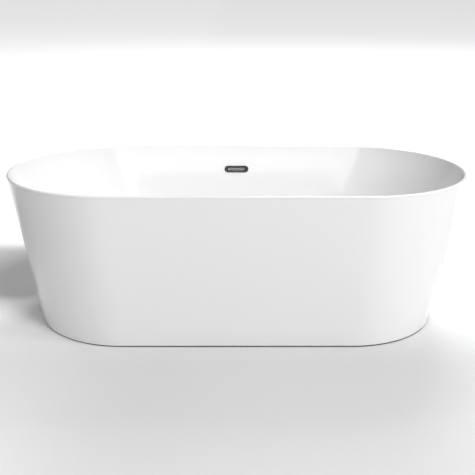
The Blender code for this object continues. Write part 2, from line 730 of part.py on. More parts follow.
def tailpiece_and_nut():
    bottom = tee_levels()[1]
    outlet_end = bottom - OUTLET_LENGTH
    ring_of("tailpiece", TAIL_RADIUS, TAIL_RADIUS - TAIL_WALL, TAIL_END, outlet_end + TAIL_ENTRY, "white_plastic")
    sleeve = OUTLET_RADIUS + GAP
    nut_low = outlet_end - GAP - TAIL_NUT_WALL
    profile = [
        (TAIL_NUT_RADIUS, nut_low + TAIL_NUT_HEIGHT),
        (TAIL_NUT_RADIUS, nut_low),
        (TAIL_RADIUS + GAP, nut_low),
        (TAIL_RADIUS + GAP, nut_low + TAIL_NUT_WALL),
        (sleeve, nut_low + TAIL_NUT_WALL),
        (sleeve, nut_low + TAIL_NUT_HEIGHT),
    ]
    turned("tailpiece_nut", profile, "white_plastic")


def throat_height():
    """Where the space between the skins, which widens downwards, first takes the spigot."""
    space_at_rim = skirt_inner_width(RIM_EDGE) - basin_reach(RIM_EDGE, BASIN_WALL)[1]
    needed = 2 * (PIPE_RADIUS + GAP + SPIGOT_WALL + SPIGOT_CLEARANCE)
    return RIM_EDGE - (needed - space_at_rim) / (math.tan(SIDE_SLOPE) - math.tan(SIDE_FLARE))


def spigot_frame():
    """The top of the overflow pipe, midway between the skins. Local +Z leans with the skirt."""
    height = throat_height()
    y = (basin_reach(height, BASIN_WALL)[1] + skirt_inner_width(height)) / 2
    return {"at": (0, y, height), "turn": (-SIDE_FLARE, 0, 0)}


def pipe_route():
    """From inside the tee's branch, along under the basin, round a bend and up to the duct."""
    branch = tee_levels()[2]
    _, y, top = spigot_frame()["at"]
    centre_z = branch + PIPE_BEND
    fall = top - centre_z + PIPE_BEND * math.sin(SIDE_FLARE)
    centre_y = y - fall * math.tan(SIDE_FLARE) - PIPE_BEND * math.cos(SIDE_FLARE)
    route = [(0, BRANCH_LENGTH - BRANCH_SOCKET + GAP, branch)]
    for step in range(BEND_STEPS + 1):
        angle = math.pi / 2 + (SIDE_FLARE - math.pi / 2) * step / BEND_STEPS
        route.append((0, centre_y + PIPE_BEND * math.cos(angle), centre_z - PIPE_BEND * math.sin(angle)))
    return route + [(0, y - GAP * math.sin(SIDE_FLARE), top - GAP * math.cos(SIDE_FLARE))]


def overflow_pipe():
    """A rigid pipe from the duct down behind the basin and along under it to the tee."""
    route = pipe_route()
    curve = bpy.data.curves.new("pipe_route", "CURVE")
    curve.dimensions = "3D"
    curve.bevel_depth = PIPE_RADIUS
    curve.bevel_resolution = ROUND_STEPS // 2 - 2
    spline = curve.splines.new("POLY")
    spline.points.add(len(route) - 1)
    for point, place_at in zip(spline.points, route):
        point.co = (*place_at, 1)
    guide = place("pipe_route", curve, TOOLS, (0, 0, 0), (0, 0, 0), None)
    bpy.context.view_layer.update()
    evaluated = guide.evaluated_get(bpy.context.evaluated_depsgraph_get())
    mesh = bpy.data.meshes.new_from_object(evaluated)
    bpy.data.objects.remove(guide, do_unlink=True)
    pipe = add_piece("overflow_pipe", mesh, "white_plastic")
    wall = pipe.modifiers.new("wall", "SOLIDIFY")
    wall.thickness = PIPE_WALL
    wall.offset = -1


def pipe_nut():
    """The compression nut that holds the pipe in the tee's branch."""
    branch = tee_levels()[2]
    mouth = BRANCH_LENGTH + GAP
    outer, inner = BRANCH_RADIUS + GAP, PIPE_RADIUS + GAP
    low, high = BRANCH_LENGTH - PIPE_NUT_COVER, BRANCH_LENGTH - PIPE_NUT_COVER + PIPE_NUT_LENGTH
    profile = [
        (PIPE_NUT_RADIUS, high),
        (PIPE_NUT_RADIUS, low),
        (outer, low),
        (outer, mouth),
        (inner, mouth),
        (inner, high),
    ]
    turned("pipe_nut", profile, "white_plastic", at=(0, 0, branch), turn=(-math.pi / 2, 0, 0))


# Overflow.


def duct_ring(height, half_width, margin):
    """Four corners of the duct at a height: it fills the space behind the basin's back wall."""
    stack = BASIN_WALL + 2 * GAP + GASKET
    front = basin_reach(height)[1] + stack / math.cos(SIDE_SLOPE) + margin
    back = skirt_inner_width(height) - DUCT_SKIRT_GAP - margin
    half = half_width - margin
    return [(-half, front, height), (half, front, height), (half, back, height), (-half, back, height)]


def overflow_duct():
    """A flat moulded duct behind the slot that narrows to a round spigot for the pipe."""
    throat = throat_height()
    shoulder = OVERFLOW_HEIGHT - DUCT_SHOULDER
    top = OVERFLOW_HEIGHT + DUCT_ABOVE
    levels = ((throat, DUCT_THROAT_HALF_WIDTH), (shoulder, DUCT_HALF_WIDTH), (top, DUCT_HALF_WIDTH))
    outside = loft([duct_ring(height, half, 0) for height, half in levels])
    duct = add_piece("overflow_duct", outside, "white_plastic")
    spigot_radius = PIPE_RADIUS + GAP + SPIGOT_WALL
    spigot = spigot_frame()
    join(duct, rod(spigot_radius, -SPIGOT_LENGTH, DUCT_WALL / 2), **spigot)
    inside = ((throat + DUCT_WALL, levels[0][1]), (shoulder, levels[1][1]), (top - DUCT_WALL, levels[2][1]))
    cut(duct, loft([duct_ring(height, half, DUCT_WALL) for height, half in inside]))
    cut(duct, rod(PIPE_RADIUS - PIPE_WALL, -DUCT_WALL, 3 * DUCT_WALL), **spigot)
    cut(duct, rod(PIPE_RADIUS + GAP, -2 * SPIGOT_LENGTH, 0), **spigot)
    front = -(BASIN_WALL + 2 * GAP + GASKET)
    window = slab(SLEEVE_LENGTH + 2 * GAP, SLEEVE_HEIGHT + 2 * GAP, front - 1.5 * DUCT_WALL, front + GASKET)
    cut(duct, window, **overflow_frame())


def overflow_gasket():
    high = -BASIN_WALL - GAP
    length, height = SLEEVE_LENGTH + 2 * GAP, SLEEVE_HEIGHT + 2 * GAP
    outline = slab(length + 2 * GASKET_MARGIN, height + 2 * GASKET_MARGIN, high - GASKET, high)
    gasket = add_piece("overflow_gasket", outline, "black_rubber", **overflow_frame())
    cut(gasket, slab(length, height, high - 3 * GASKET, high + GASKET), **overflow_frame())


def overflow_cover():
    """The visible obround plate with its slot, and the sleeve that plugs into the duct."""
    low, high = GAP, GAP + COVER_THICKNESS
    straight = (COVER_LENGTH - COVER_HEIGHT) / 2
    rims = ((low, 0), (high - COVER_EDGE, 0), (high, COVER_EDGE))
    plate = loft(
        [oval(COVER_LENGTH / 2 - inset, COVER_HEIGHT / 2 - inset, straight, level, SMALL_STEPS) for level, inset in rims]
    )
    cover = add_piece("overflow_cover", plate, "dark_chrome", **overflow_frame())
    depth = BASIN_WALL + 2 * GAP + GASKET + DUCT_WALL
    join(cover, slab(SLEEVE_LENGTH, SLEEVE_HEIGHT, -depth, (low + high) / 2), **overflow_frame())
    cut(cover, slab(SLOT_LENGTH, SLOT_HEIGHT, -2 * depth, 2 * high), **overflow_frame())


for old in list(bpy.data.objects):
    bpy.data.objects.remove(old, do_unlink=True)
PARTS = new_collection("freestanding_bathtub")
TOOLS = new_collection("cutters")

inner_basin()
outer_skirt()
base_board()
frame_rails()
crossbars()
wood_screws()
brackets()
for place_of_foot in corners():
    levelling_foot(*place_of_foot)
drain_body()
drain_seals_and_nut()
plug_cartridge()
plug()
waste_tee()
tailpiece_and_nut()
overflow_pipe()
pipe_nut()
overflow_duct()
overflow_gasket()
overflow_cover()
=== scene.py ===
import math

import bmesh
import bpy
from mathutils import Matrix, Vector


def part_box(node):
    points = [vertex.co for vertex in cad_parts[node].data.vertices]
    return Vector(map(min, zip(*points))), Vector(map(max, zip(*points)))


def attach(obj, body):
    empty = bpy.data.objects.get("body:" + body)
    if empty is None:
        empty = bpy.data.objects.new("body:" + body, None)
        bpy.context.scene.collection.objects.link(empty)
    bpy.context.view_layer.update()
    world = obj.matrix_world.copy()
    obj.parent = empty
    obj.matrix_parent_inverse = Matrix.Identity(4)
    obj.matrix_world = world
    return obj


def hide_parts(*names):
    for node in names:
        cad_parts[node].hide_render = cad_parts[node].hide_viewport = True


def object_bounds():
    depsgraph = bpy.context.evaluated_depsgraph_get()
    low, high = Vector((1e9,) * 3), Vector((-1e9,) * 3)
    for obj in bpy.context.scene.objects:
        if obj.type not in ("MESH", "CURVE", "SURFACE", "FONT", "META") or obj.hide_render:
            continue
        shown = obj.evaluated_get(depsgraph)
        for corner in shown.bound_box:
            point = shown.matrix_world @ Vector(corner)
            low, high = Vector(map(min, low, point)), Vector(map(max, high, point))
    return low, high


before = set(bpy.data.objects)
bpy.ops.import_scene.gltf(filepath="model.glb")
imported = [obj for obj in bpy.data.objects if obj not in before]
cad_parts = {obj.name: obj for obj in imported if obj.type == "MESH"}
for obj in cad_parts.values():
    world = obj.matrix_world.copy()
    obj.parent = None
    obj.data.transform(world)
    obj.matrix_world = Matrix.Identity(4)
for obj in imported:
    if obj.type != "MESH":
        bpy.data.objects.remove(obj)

cad_box = [[float(value) for value in corner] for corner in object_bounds()]

# ------------------
# Inner basin. The tub's inner skin is one 5 mm sheet of white sanitary acrylic, vacuum formed
# over a mould: two sloping lounging ends, coved corners, a slim rim rolled over the skirt, a
# floor that falls to a round recess for the waste, and a slot for the overflow in the back wall.

LENGTH, WIDTH, HEIGHT = (cad_box[1][axis] - cad_box[0][axis] for axis in range(3))
SKIN = 0.005
END_FLARE, SIDE_FLARE = math.radians(9.8), math.radians(3.1)
END_SLOPE, SIDE_SLOPE, STRAIGHT_TAPER = math.radians(24.6), math.radians(11.0), math.radians(21.5)
SKIRT_INSET = 0.0006
SKIN_GAP, END_ROUND = 0.0005, 0.410
RIM_WIDTH = SKIRT_INSET + SKIN / math.cos(END_FLARE) + SKIN_GAP + SKIN / math.cos(END_SLOPE)
RIM_EDGE = HEIGHT - RIM_WIDTH / 2
RIM_STRAIGHT = LENGTH / 2 - END_ROUND
END_COVE, SIDE_COVE = 0.200, 0.100
BASIN_FLOOR, DRAIN_FLAT = 0.125, 0.121
UNDERSIDE = DRAIN_FLAT - SKIN
DRAIN_HOLE, HOLE_EASE = 0.0243, 0.0006
RECESS_RADIUS, RECESS_FLOOR, RECESS_EASE = 0.038, 0.117, 0.0012
BOSS_RADIUS, BOSS_HEIGHT, BOSS_EASE = 0.044, 0.004, 0.0008
DRAIN_APRON = (0.100, 0.065, 0.035)  # half length, half width and half straight side of an oval
OVERFLOW_HEIGHT = 0.466
SLOT_CUT = (0.0423, 0.0088, 0.0335)
ARC_STEPS, SIDE_STEPS = 64, 14  # facets round each end, and along each straight side
COVE_STEPS, WALL_STEPS, ROLL_STEPS = 26, 8, 14
TOUCHING = 1e-6  # points closer than this are one point


def stations():
    """Places round a flat oval, as shares of its half straight side, end reach and half width."""
    places = []
    for side in (1, -1):
        for step in range(ARC_STEPS):
            angle = math.pi * (step / ARC_STEPS - 0.5)
            places.append((side, side * math.cos(angle), side * math.sin(angle)))
        for step in range(SIDE_STEPS):
            places.append((side * (1 - 2 * step / SIDE_STEPS), 0, side))
    return places


def wrapped(levels, closed=False):
    """A sheet wrapped round a stack of ovals: half length, half width, half straight, height."""
    places = stations()
    levels = list(levels) + list(levels[:1] if closed else [])
    shape = bmesh.new()
    bmesh.ops.create_grid(shape, x_segments=len(places), y_segments=len(levels) - 1, size=1)
    for vert in shape.verts:
        along, reach, across = places[round((vert.co.x + 1) / 2 * len(places)) % len(places)]
        half_length, half_width, straight, height = levels[round((vert.co.y + 1) / 2 * (len(levels) - 1))]
        vert.co = (along * straight + reach * (half_length - straight), across * half_width, height)
    bmesh.ops.remove_doubles(shape, verts=shape.verts, dist=TOUCHING)
    if not closed:
        bmesh.ops.holes_fill(shape, edges=[edge for edge in shape.edges if edge.is_boundary])
    bmesh.ops.recalc_face_normals(shape, faces=shape.faces)
    return shape


def round_level(radius, height):
    return (radius, radius, 0, height)


def seated(shape, at, turn=(0, 0, 0)):
    """The shape turned about X, Y and Z, then moved to its place."""
    turning = Matrix.Rotation(turn[2], 4, "Z") @ Matrix.Rotation(turn[1], 4, "Y")
    turning = turning @ Matrix.Rotation(turn[0], 4, "X")
    bmesh.ops.transform(shape, matrix=Matrix.Translation(at) @ turning, verts=shape.verts)
    return shape


def carved(shape, tool, operation="DIFFERENCE"):
    """The shape with a tool cut out of it, joined to it, or kept only where both are."""
    pair = []
    for part in (shape, tool):
        mesh = bpy.data.meshes.new("carving")
        part.to_mesh(mesh)
        part.free()
        pair.append(bpy.data.objects.new("carving", mesh))
        bpy.context.scene.collection.objects.link(pair[-1])
    step = pair[0].modifiers.new("carve", "BOOLEAN")
    step.operation, step.object, step.solver = operation, pair[1], "EXACT"
    result = bmesh.new()
    result.from_object(pair[0], bpy.context.evaluated_depsgraph_get())
    for thing in pair:
        bpy.data.meshes.remove(thing.data)
    bmesh.ops.remove_doubles(result, verts=result.verts, dist=TOUCHING)
    return result


def finished(shape, node, finish, body="tub", crease=32):
    """The shape as the piece that stands for a CAD node and moves with its body."""
    mesh = bpy.data.meshes.new(f"{node}_piece")
    shape.to_mesh(mesh)
    shape.free()
    mesh.shade_smooth()
    mesh.set_sharp_from_angle(angle=math.radians(crease))
    mesh.materials.append(finish)
    piece = bpy.data.objects.new(mesh.name, mesh)
    bpy.context.scene.collection.objects.link(piece)
    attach(piece, body)
    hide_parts(node)
    return piece


class Pattern:
    """A value that varies over a surface. Arithmetic on it adds the Math nodes that do it."""

    def __init__(self, finish, socket):
        self.finish, self.socket = finish, socket

    def worked(self, operation, first, second):
        return self.finish.node("ShaderNodeMath", {"operation": operation}, {0: first, 1: second})

    def __add__(self, other):
        return self.worked("ADD", self, other)

    def __sub__(self, other):
        return self.worked("SUBTRACT", self, other)

    def __rsub__(self, other):
        return self.worked("SUBTRACT", other, self)

    def __mul__(self, other):
        return self.worked("MULTIPLY", self, other)

    __radd__, __rmul__ = __add__, __mul__


class Finish:
    """A material whose patterns are read at the piece's own place, in metres."""

    def __init__(self, name, **constants):
        self.material = bpy.data.materials.new(name)
        self.material.use_nodes = True
        self.tree = self.material.node_tree
        self.shader = self.tree.nodes["Principled BSDF"]
        for socket, value in constants.items():
            self.shader.inputs[socket.replace("_", " ")].default_value = value
        self.place = self.node("ShaderNodeTexCoord", output="Object")

    def node(self, kind, settings=None, values=None, output=0):
        made = self.tree.nodes.new(kind)
        for name, value in (settings or {}).items():
            setattr(made, name, value)
        for name, value in (values or {}).items():
            self.wire(value, made.inputs[name])
        return Pattern(self, made.outputs[output])

    def wire(self, value, socket):
        if isinstance(value, Pattern):
            self.tree.links.new(value.socket, socket)
        else:
            socket.default_value = value

    def feed(self, **patterns):
        for socket, pattern in patterns.items():
            self.wire(pattern, self.shader.inputs[socket.replace("_", " ")])

    def grain(self, scale, detail=2.0, stretch=(1, 1, 1)):
        """Noise from 0 to 1 with so many patches to the metre, stretched along an axis."""
        spot = self.node("ShaderNodeVectorMath", {"operation": "MULTIPLY"}, {0: self.place, 1: stretch})
        return self.node("ShaderNodeTexNoise", None, {"Vector": spot, "Scale": scale, "Detail": detail})

    def ramp(self, value, start, end):
        """0 below the start, 1 above the end, and smooth between them."""
        settings = {"interpolation_type": "SMOOTHSTEP"}
        inputs = {"Value": value, "From Min": start, "From Max": end}
        return self.node("ShaderNodeMapRange", settings, inputs)

    def blend(self, factor, first, second):
        """One colour turning into another."""
        values = {"Factor": factor}
        for socket, colour in ((6, first), (7, second)):
            values[socket] = colour if isinstance(colour, Pattern) else (*colour, 1)
        return self.node("ShaderNodeMix", {"data_type": "RGBA"}, values, output=2)

    def bump(self, height, distance, strength=1.0):
        inputs = {"Height": height, "Distance": distance, "Strength": strength}
        return self.node("ShaderNodeBump", None, inputs)

    def axis(self, name):
        """The place along one axis."""
        return self.node("ShaderNodeSeparateXYZ", None, {0: self.place}, output=name)


def wall_reach(top, slope, cove, floor, height):
    """How far a leaning wall with a cove at its foot stands from the middle at a height."""
    centre_height = floor + cove
    if height >= centre_height - cove * math.sin(slope):
        return top - (RIM_EDGE - height) * math.tan(slope)
    centre = top - (RIM_EDGE - centre_height) * math.tan(slope) - cove / math.cos(slope)
    return centre + math.sqrt(max(cove**2 - (centre_height - height) ** 2, 0))


def basin_level(height, wall=0.0):
    """The oval of the basin's inner face at a height, or with a wall that of its hidden face."""
    floor = UNDERSIDE if wall else BASIN_FLOOR
    reaches = []
    for half, slope, cove in ((LENGTH / 2, END_SLOPE, END_COVE), (WIDTH / 2, SIDE_SLOPE, SIDE_COVE)):
        rim_reach = half - RIM_WIDTH + wall / math.cos(slope)
        reaches.append(wall_reach(rim_reach, slope, cove + wall, floor, height))
    return (*reaches, RIM_STRAIGHT - (RIM_EDGE - height) * math.tan(STRAIGHT_TAPER), height)


def basin_wall(wall=0.0):
    """Ovals from the floor's edge, up the coves and the walls to the rim."""
    floor, cove = (UNDERSIDE if wall else BASIN_FLOOR), END_COVE + wall
    sweep = math.pi / 2 - END_SLOPE
    heights = [floor + cove * (1 - math.cos(sweep * step / COVE_STEPS)) for step in range(COVE_STEPS + 1)]
    rise = RIM_EDGE - heights[-1]
    heights += [heights[-1] + rise * step / WALL_STEPS for step in range(1, WALL_STEPS + 1)]
    return [basin_level(height, wall) for height in heights]


def rim_roll():
    """The rim's round top, from its inner side to its outer side."""
    ovals = []
    for step in range(1, ROLL_STEPS + 1):
        angle = math.pi * (1 - step / ROLL_STEPS)
        inset = RIM_WIDTH / 2 * (1 - math.cos(angle))
        height = RIM_EDGE + RIM_WIDTH / 2 * math.sin(angle)
        ovals.append((LENGTH / 2 - inset, WIDTH / 2 - inset, RIM_STRAIGHT, height))
    return ovals


overflow_seat = ((0, basin_level(OVERFLOW_HEIGHT)[1], OVERFLOW_HEIGHT), (math.pi / 2 - SIDE_SLOPE, 0, 0))

acrylic = Finish("white_gloss_acrylic", Roughness=0.1, IOR=1.49, Specular_IOR_Level=0.5)
cloud = acrylic.grain(3.5, 3)
acrylic.feed(
    Base_Color=acrylic.blend(cloud, (0.925, 0.926, 0.924), (0.94, 0.94, 0.936)),
    Roughness=0.075 + 0.05 * acrylic.grain(11, 4),
    Normal=acrylic.bump(acrylic.grain(7, 1) + 0.012 * acrylic.grain(260, 2), 0.0012, 0.35),
)

basin_levels = [
    round_level(DRAIN_HOLE, UNDERSIDE - BOSS_HEIGHT),
    round_level(DRAIN_HOLE, RECESS_FLOOR - HOLE_EASE),
    round_level(DRAIN_HOLE + HOLE_EASE, RECESS_FLOOR),
    round_level(RECESS_RADIUS - RECESS_EASE, RECESS_FLOOR),
    round_level(RECESS_RADIUS - RECESS_EASE / 4, RECESS_FLOOR + RECESS_EASE / 3),
    round_level(RECESS_RADIUS, RECESS_FLOOR + RECESS_EASE),
    round_level(RECESS_RADIUS, DRAIN_FLAT - RECESS_EASE),
    round_level(RECESS_RADIUS + RECESS_EASE / 3, DRAIN_FLAT - RECESS_EASE / 3),
    round_level(RECESS_RADIUS + RECESS_EASE, DRAIN_FLAT),
    (*DRAIN_APRON, DRAIN_FLAT),
]
basin_levels += basin_wall() + rim_roll() + basin_wall(SKIN)[::-1]
basin_levels += [
    round_level(BOSS_RADIUS, UNDERSIDE),
    round_level(BOSS_RADIUS, UNDERSIDE - BOSS_HEIGHT + BOSS_EASE),
    round_level(BOSS_RADIUS - BOSS_EASE, UNDERSIDE - BOSS_HEIGHT),
]
basin = wrapped(basin_levels, closed=True)
slot_tool = wrapped([(*SLOT_CUT, depth) for depth in (-3 * SKIN, 3 * SKIN)])
basin = carved(basin, seated(slot_tool, *overflow_seat))
finished(basin, "inner_basin", acrylic.material)

# ------------------
# Outer skirt. The outer skin is a second formed sheet of the same acrylic, trimmed round at its
# foot, and glued up under the rim. It flares towards the top and hangs 4 mm over the floor.

SKIRT_TAPER = math.radians(3.1)
SKIRT_FOOT = 0.004
SKIRT_LEVELS, FOOT_STEPS = 10, 8
FIT = 0.0003  # clearance between pieces that go together
SKIRT_TOP, SKIRT_EASE = RIM_EDGE - FIT, 0.0004


def skirt_level(height, inset):
    """The oval of the skirt at a height, that far inside its outer face."""
    drop = RIM_EDGE - height
    return (
        LENGTH / 2 - drop * math.tan(END_FLARE) - inset / math.cos(END_FLARE),
        WIDTH / 2 - drop * math.tan(SIDE_FLARE) - inset / math.cos(SIDE_FLARE),
        RIM_STRAIGHT - drop * math.tan(SKIRT_TAPER),
        height,
    )


def skirt_face(inset):
    """Ovals down one face of the skirt, between its eased edges."""
    low, high = SKIRT_FOOT + SKIN / 2, SKIRT_TOP - SKIRT_EASE
    heights = [high + (low - high) * step / SKIRT_LEVELS for step in range(SKIRT_LEVELS + 1)]
    return [skirt_level(height, inset) for height in heights]


skirt_levels = [skirt_level(SKIRT_TOP, SKIRT_INSET + SKIRT_EASE)] + skirt_face(SKIRT_INSET)
for step in range(1, FOOT_STEPS):
    angle = math.pi * step / FOOT_STEPS
    height = SKIRT_FOOT + SKIN / 2 * (1 - math.sin(angle))
    skirt_levels.append(skirt_level(height, SKIRT_INSET + SKIN / 2 * (1 - math.cos(angle))))
skirt_levels += skirt_face(SKIRT_INSET + SKIN)[::-1]
skirt_levels.append(skirt_level(SKIRT_TOP, SKIRT_INSET + SKIN - SKIRT_EASE))
finished(wrapped(skirt_levels, closed=True), "outer_skirt", acrylic.material)

# ------------------
# Base board. A flat oval of 12 mm birch ply, sealed with resin and bonded under the basin floor.
# It has a wide hole round the waste and four pilot holes for the screws that hold the rails.

BOARD_ARRIS = 0.0012
BOARD_HOLE = 0.050
SCREW_X, PILOT_RADIUS, PILOT_DEPTH = 0.200, 0.0028, 0.0086
PLY_WAVE = 3770  # radians to the metre: a light and a dark ply in each 1.67 mm
ROUND, FINE, SMALL = 48, 96, 24  # facets round turned pieces, wide ones and small holes
PAST = 0.010  # how far a cutting tool goes past a face


def rod(radius, low, high, at=(0, 0), steps=ROUND):
    """A plain round bar standing on end."""
    shape = bmesh.new()
    bmesh.ops.create_cone(
        shape,
        cap_ends=True,
        cap_tris=False,
        segments=steps,
        radius1=radius,
        radius2=radius,
        depth=high - low,
    )
    bmesh.ops.translate(shape, vec=(*at, (low + high) / 2), verts=shape.verts)
    return shape


rail_y = sum(corner.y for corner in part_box("rail_back")) / 2
board_low, board_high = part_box("base_board")
board_levels = []
for height, inset in (
    (board_low.z, BOARD_ARRIS),
    (board_low.z + BOARD_ARRIS, 0),
    (board_high.z - BOARD_ARRIS, 0),
    (board_high.z, BOARD_ARRIS),
):
    board_levels.append((board_high.x - inset, board_high.y - inset, board_high.x - board_high.y, height))
board_drill = rod(BOARD_HOLE, board_low.z - PAST, board_high.z + PAST, steps=FINE)
board = carved(wrapped(board_levels), board_drill)
for x in (-SCREW_X, SCREW_X):
    for y in (-rail_y, rail_y):
        pilot = rod(PILOT_RADIUS, board_low.z - PAST, board_low.z + PILOT_DEPTH, (x, y), SMALL)
        board = carved(board, pilot)

birch = Finish("sealed_birch_ply", Coat_Roughness=0.25)
plies = birch.node("ShaderNodeMath", {"operation": "SINE"}, {0: birch.axis("Z") * PLY_WAVE})
figure = birch.grain(30, 5, stretch=(0.06, 1, 0.02)) + 0.35 * birch.grain(240, 2, stretch=(0.04, 1, 0.1))
birch_colour = birch.blend(birch.ramp(figure, 0.35, 1.0), (0.62, 0.46, 0.29), (0.43, 0.29, 0.16))
birch.feed(
    Base_Color=birch.blend(birch.ramp(plies, -0.3, 0.4) * 0.45, birch_colour, (0.30, 0.19, 0.10)),
    Roughness=0.5 + 0.2 * figure,
    Coat_Weight=0.25 + 0.2 * birch.grain(20, 2),
    Normal=birch.bump(figure, 0.0004, 0.6),
)
finished(board, "base_board", birch.material)

# ------------------
# Frame. Two rails under the board and two crossbars under the rails, all 25 mm square steel tube
# with folded corners and 2 mm walls, zinc plated. They are drilled for the screws and the feet.

TUBE_WALL, TUBE_CORNER, CORNER_STEPS = 0.002, 0.003, 5
HOLE_REACH = 0.004  # how far a drill comes through a wall


def eased(shape, edges, offset, segments):
    """Rounds edges of a shape, those that earlier rounding has left."""
    bmesh.ops.bevel(
        shape,
        geom=[edge for edge in edges if edge.is_valid],
        offset=offset,
        segments=segments,
        profile=0.5,
        affect="EDGES",
        material=-1,
    )


def bar(low, high, along, corner):
    """A square bar between two corners, its long edges round."""
    shape = bmesh.new()
    bmesh.ops.create_cube(shape, size=1)
    bmesh.ops.scale(shape, vec=[b - a for a, b in zip(low, high)], verts=shape.verts)
    bmesh.ops.translate(shape, vec=[(a + b) / 2 for a, b in zip(low, high)], verts=shape.verts)
    long_edges = []
    for edge in shape.edges:
        run = edge.verts[1].co - edge.verts[0].co
        if abs(run[along]) > run.length / 2:
            long_edges.append(edge)
    if corner:
        eased(shape, long_edges, corner, CORNER_STEPS)
    return shape


def square_tube(node, along):
    """A tube that fills a node's box, open at both ends."""
    low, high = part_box(node)
    inner_low, inner_high = low.copy(), high.copy()
    for axis in range(3):
        wall = -TUBE_WALL if axis == along else TUBE_WALL
        inner_low[axis] += wall
        inner_high[axis] -= wall
    hollow = bar(inner_low, inner_high, along, TUBE_CORNER - TUBE_WALL)
    return carved(bar(low, high, along, TUBE_CORNER), hollow)


zinc = Finish("zinc_plated_steel", Metallic=1.0)
bloom = zinc.grain(45, 4)
zinc.feed(
    Base_Color=zinc.blend(zinc.ramp(bloom, 0.3, 0.75), (0.62, 0.64, 0.67), (0.55, 0.53, 0.45)),
    Roughness=0.26 + 0.22 * zinc.grain(120, 3),
    Normal=zinc.bump(zinc.grain(600, 2), 0.00015, 0.5),
)

for node, side in (("rail_front", -1), ("rail_back", 1)):
    rail = square_tube(node, along=0)
    rail_low, rail_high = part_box(node)
    for x in (-SCREW_X, SCREW_X):
        place = (x, side * rail_y)
        drill = rod(PILOT_RADIUS, rail_low.z - HOLE_REACH, rail_high.z + HOLE_REACH, place, SMALL)
        rail = carved(rail, drill)
    finished(rail, node, zinc.material)

CORNERS = ("front_left", "front_right", "back_left", "back_right")
foot_places = {}
for corner in CORNERS:
    pad_low, pad_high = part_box(f"foot_pad_{corner}")
    foot_places[corner] = ((pad_low.x + pad_high.x) / 2, (pad_low.y + pad_high.y) / 2)
NUT_HOLE, STUD_HOLE, BRACKET_HOLE = 0.0088, 0.0069, 0.0025
for node, corners in (("crossbar_left", CORNERS[::2]), ("crossbar_right", CORNERS[1::2])):
    crossbar = square_tube(node, along=1)
    bar_low, bar_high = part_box(node)
    for corner in corners:
        screw_low, screw_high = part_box(f"bracket_screw_{corner}")
        screw_place = ((screw_low.x + screw_high.x) / 2, (screw_low.y + screw_high.y) / 2)
        for radius, height, place in (
            (NUT_HOLE, bar_low.z, foot_places[corner]),
            (STUD_HOLE, bar_high.z, foot_places[corner]),
            (BRACKET_HOLE, bar_high.z, screw_place),
        ):
            crossbar = carved(crossbar, rod(radius, height - HOLE_REACH, height + HOLE_REACH, place, 32))
    finished(crossbar, node, zinc.material)

# ------------------
# Screws. Pan heads with a cross recess and a rolled thread: four into the board from below,
# and four that cut their own thread in the crossbars and hold the brackets.

HEAD_RADIUS, HEAD_HEIGHT = 0.005, 0.003
CROSS_WIDTH, CROSS_LENGTH, CROSS_DEPTH = 0.0009, 0.0048, 0.0016
WOOD_THREAD, METAL_THREAD = (0.0025, 0.0016), (0.0022, 0.0011)  # radius and pitch
CORE = 0.78  # a screw's core, as a share of its radius


def turned(profile, steps=ROUND, closed=False):
    """A profile of (radius, height) points spun about Z."""
    shape = bmesh.new()
    points = [shape.verts.new((radius, 0, height)) for radius, height in profile]
    ends = points[1:] + points[:1] if closed else points[1:]
    lines = [shape.edges.new(pair) for pair in zip(points, ends)]
    bmesh.ops.spin(
        shape,
        geom=points + lines,
        cent=(0, 0, 0),
        axis=(0, 0, 1),
        angle=2 * math.pi,
        steps=steps,
        use_merge=True,
    )
    bmesh.ops.remove_doubles(shape, verts=shape.verts, dist=TOUCHING)
    bmesh.ops.recalc_face_normals(shape, faces=shape.faces)
    return shape


def threaded(radius, cut, pitch, low, high, steps=20):
    """A right-hand thread: one tooth spun and raised by its pitch each turn, its ends cut flat."""
    shape = bmesh.new()
    tooth = ((radius - cut, 0), (radius, 0.42), (radius, 0.54), (radius - cut, 0.96), (radius - cut, 1))
    points = [shape.verts.new((reach, 0, low + (share - 2) * pitch)) for reach, share in tooth]
    lines = [shape.edges.new(pair) for pair in zip(points, points[1:])]
    turns = math.ceil((high - low) / pitch) + 3
    bmesh.ops.spin(
        shape,
        geom=points + lines,
        cent=(0, 0, 0),
        axis=(0, 0, 1),
        dvec=(0, 0, pitch / steps),
        angle=2 * math.pi * turns,
        steps=steps * turns,
    )
    bmesh.ops.remove_doubles(shape, verts=shape.verts, dist=pitch / 1000)
    for height, outward in ((low, -1), (high, 1)):
        everything = shape.verts[:] + shape.edges[:] + shape.faces[:]
        bmesh.ops.bisect_plane(
            shape, geom=everything, plane_co=(0, 0, height), plane_no=(0, 0, outward), clear_outer=True
        )
    bmesh.ops.holes_fill(shape, edges=[edge for edge in shape.edges if edge.is_boundary])
    bmesh.ops.recalc_face_normals(shape, faces=shape.faces)
    return shape


def pan_head_screw(radius, length, pitch):
    """A screw whose head sits on Z = 0 and whose point is below it."""
    dome = [(0, 1), (0.45, 0.97), (0.78, 0.80), (0.95, 0.50), (1, 0.18), (0.97, 0), (0, 0)]
    head = turned([(reach * HEAD_RADIUS, rise * HEAD_HEIGHT) for reach, rise in dome], 32)
    for turn in (0, math.pi / 2):
        reach = (CROSS_LENGTH / 2, CROSS_WIDTH / 2)
        slot = bar((-reach[0], -reach[1], HEAD_HEIGHT - CROSS_DEPTH), (*reach, 2 * HEAD_HEIGHT), 2, 0)
        head = carved(head, seated(slot, (0, 0, 0), (0, 0, turn)))
    outline = [(0, -length), (CORE * radius, radius - length)]
    outline += [(CORE * radius, HEAD_HEIGHT / 2), (0, HEAD_HEIGHT / 2)]
    point = turned(outline, 20)
    shank = threaded(radius, 0.25 * radius, pitch, radius - length, -0.0004)
    return carved(head, carved(point, shank, "UNION"), "UNION")


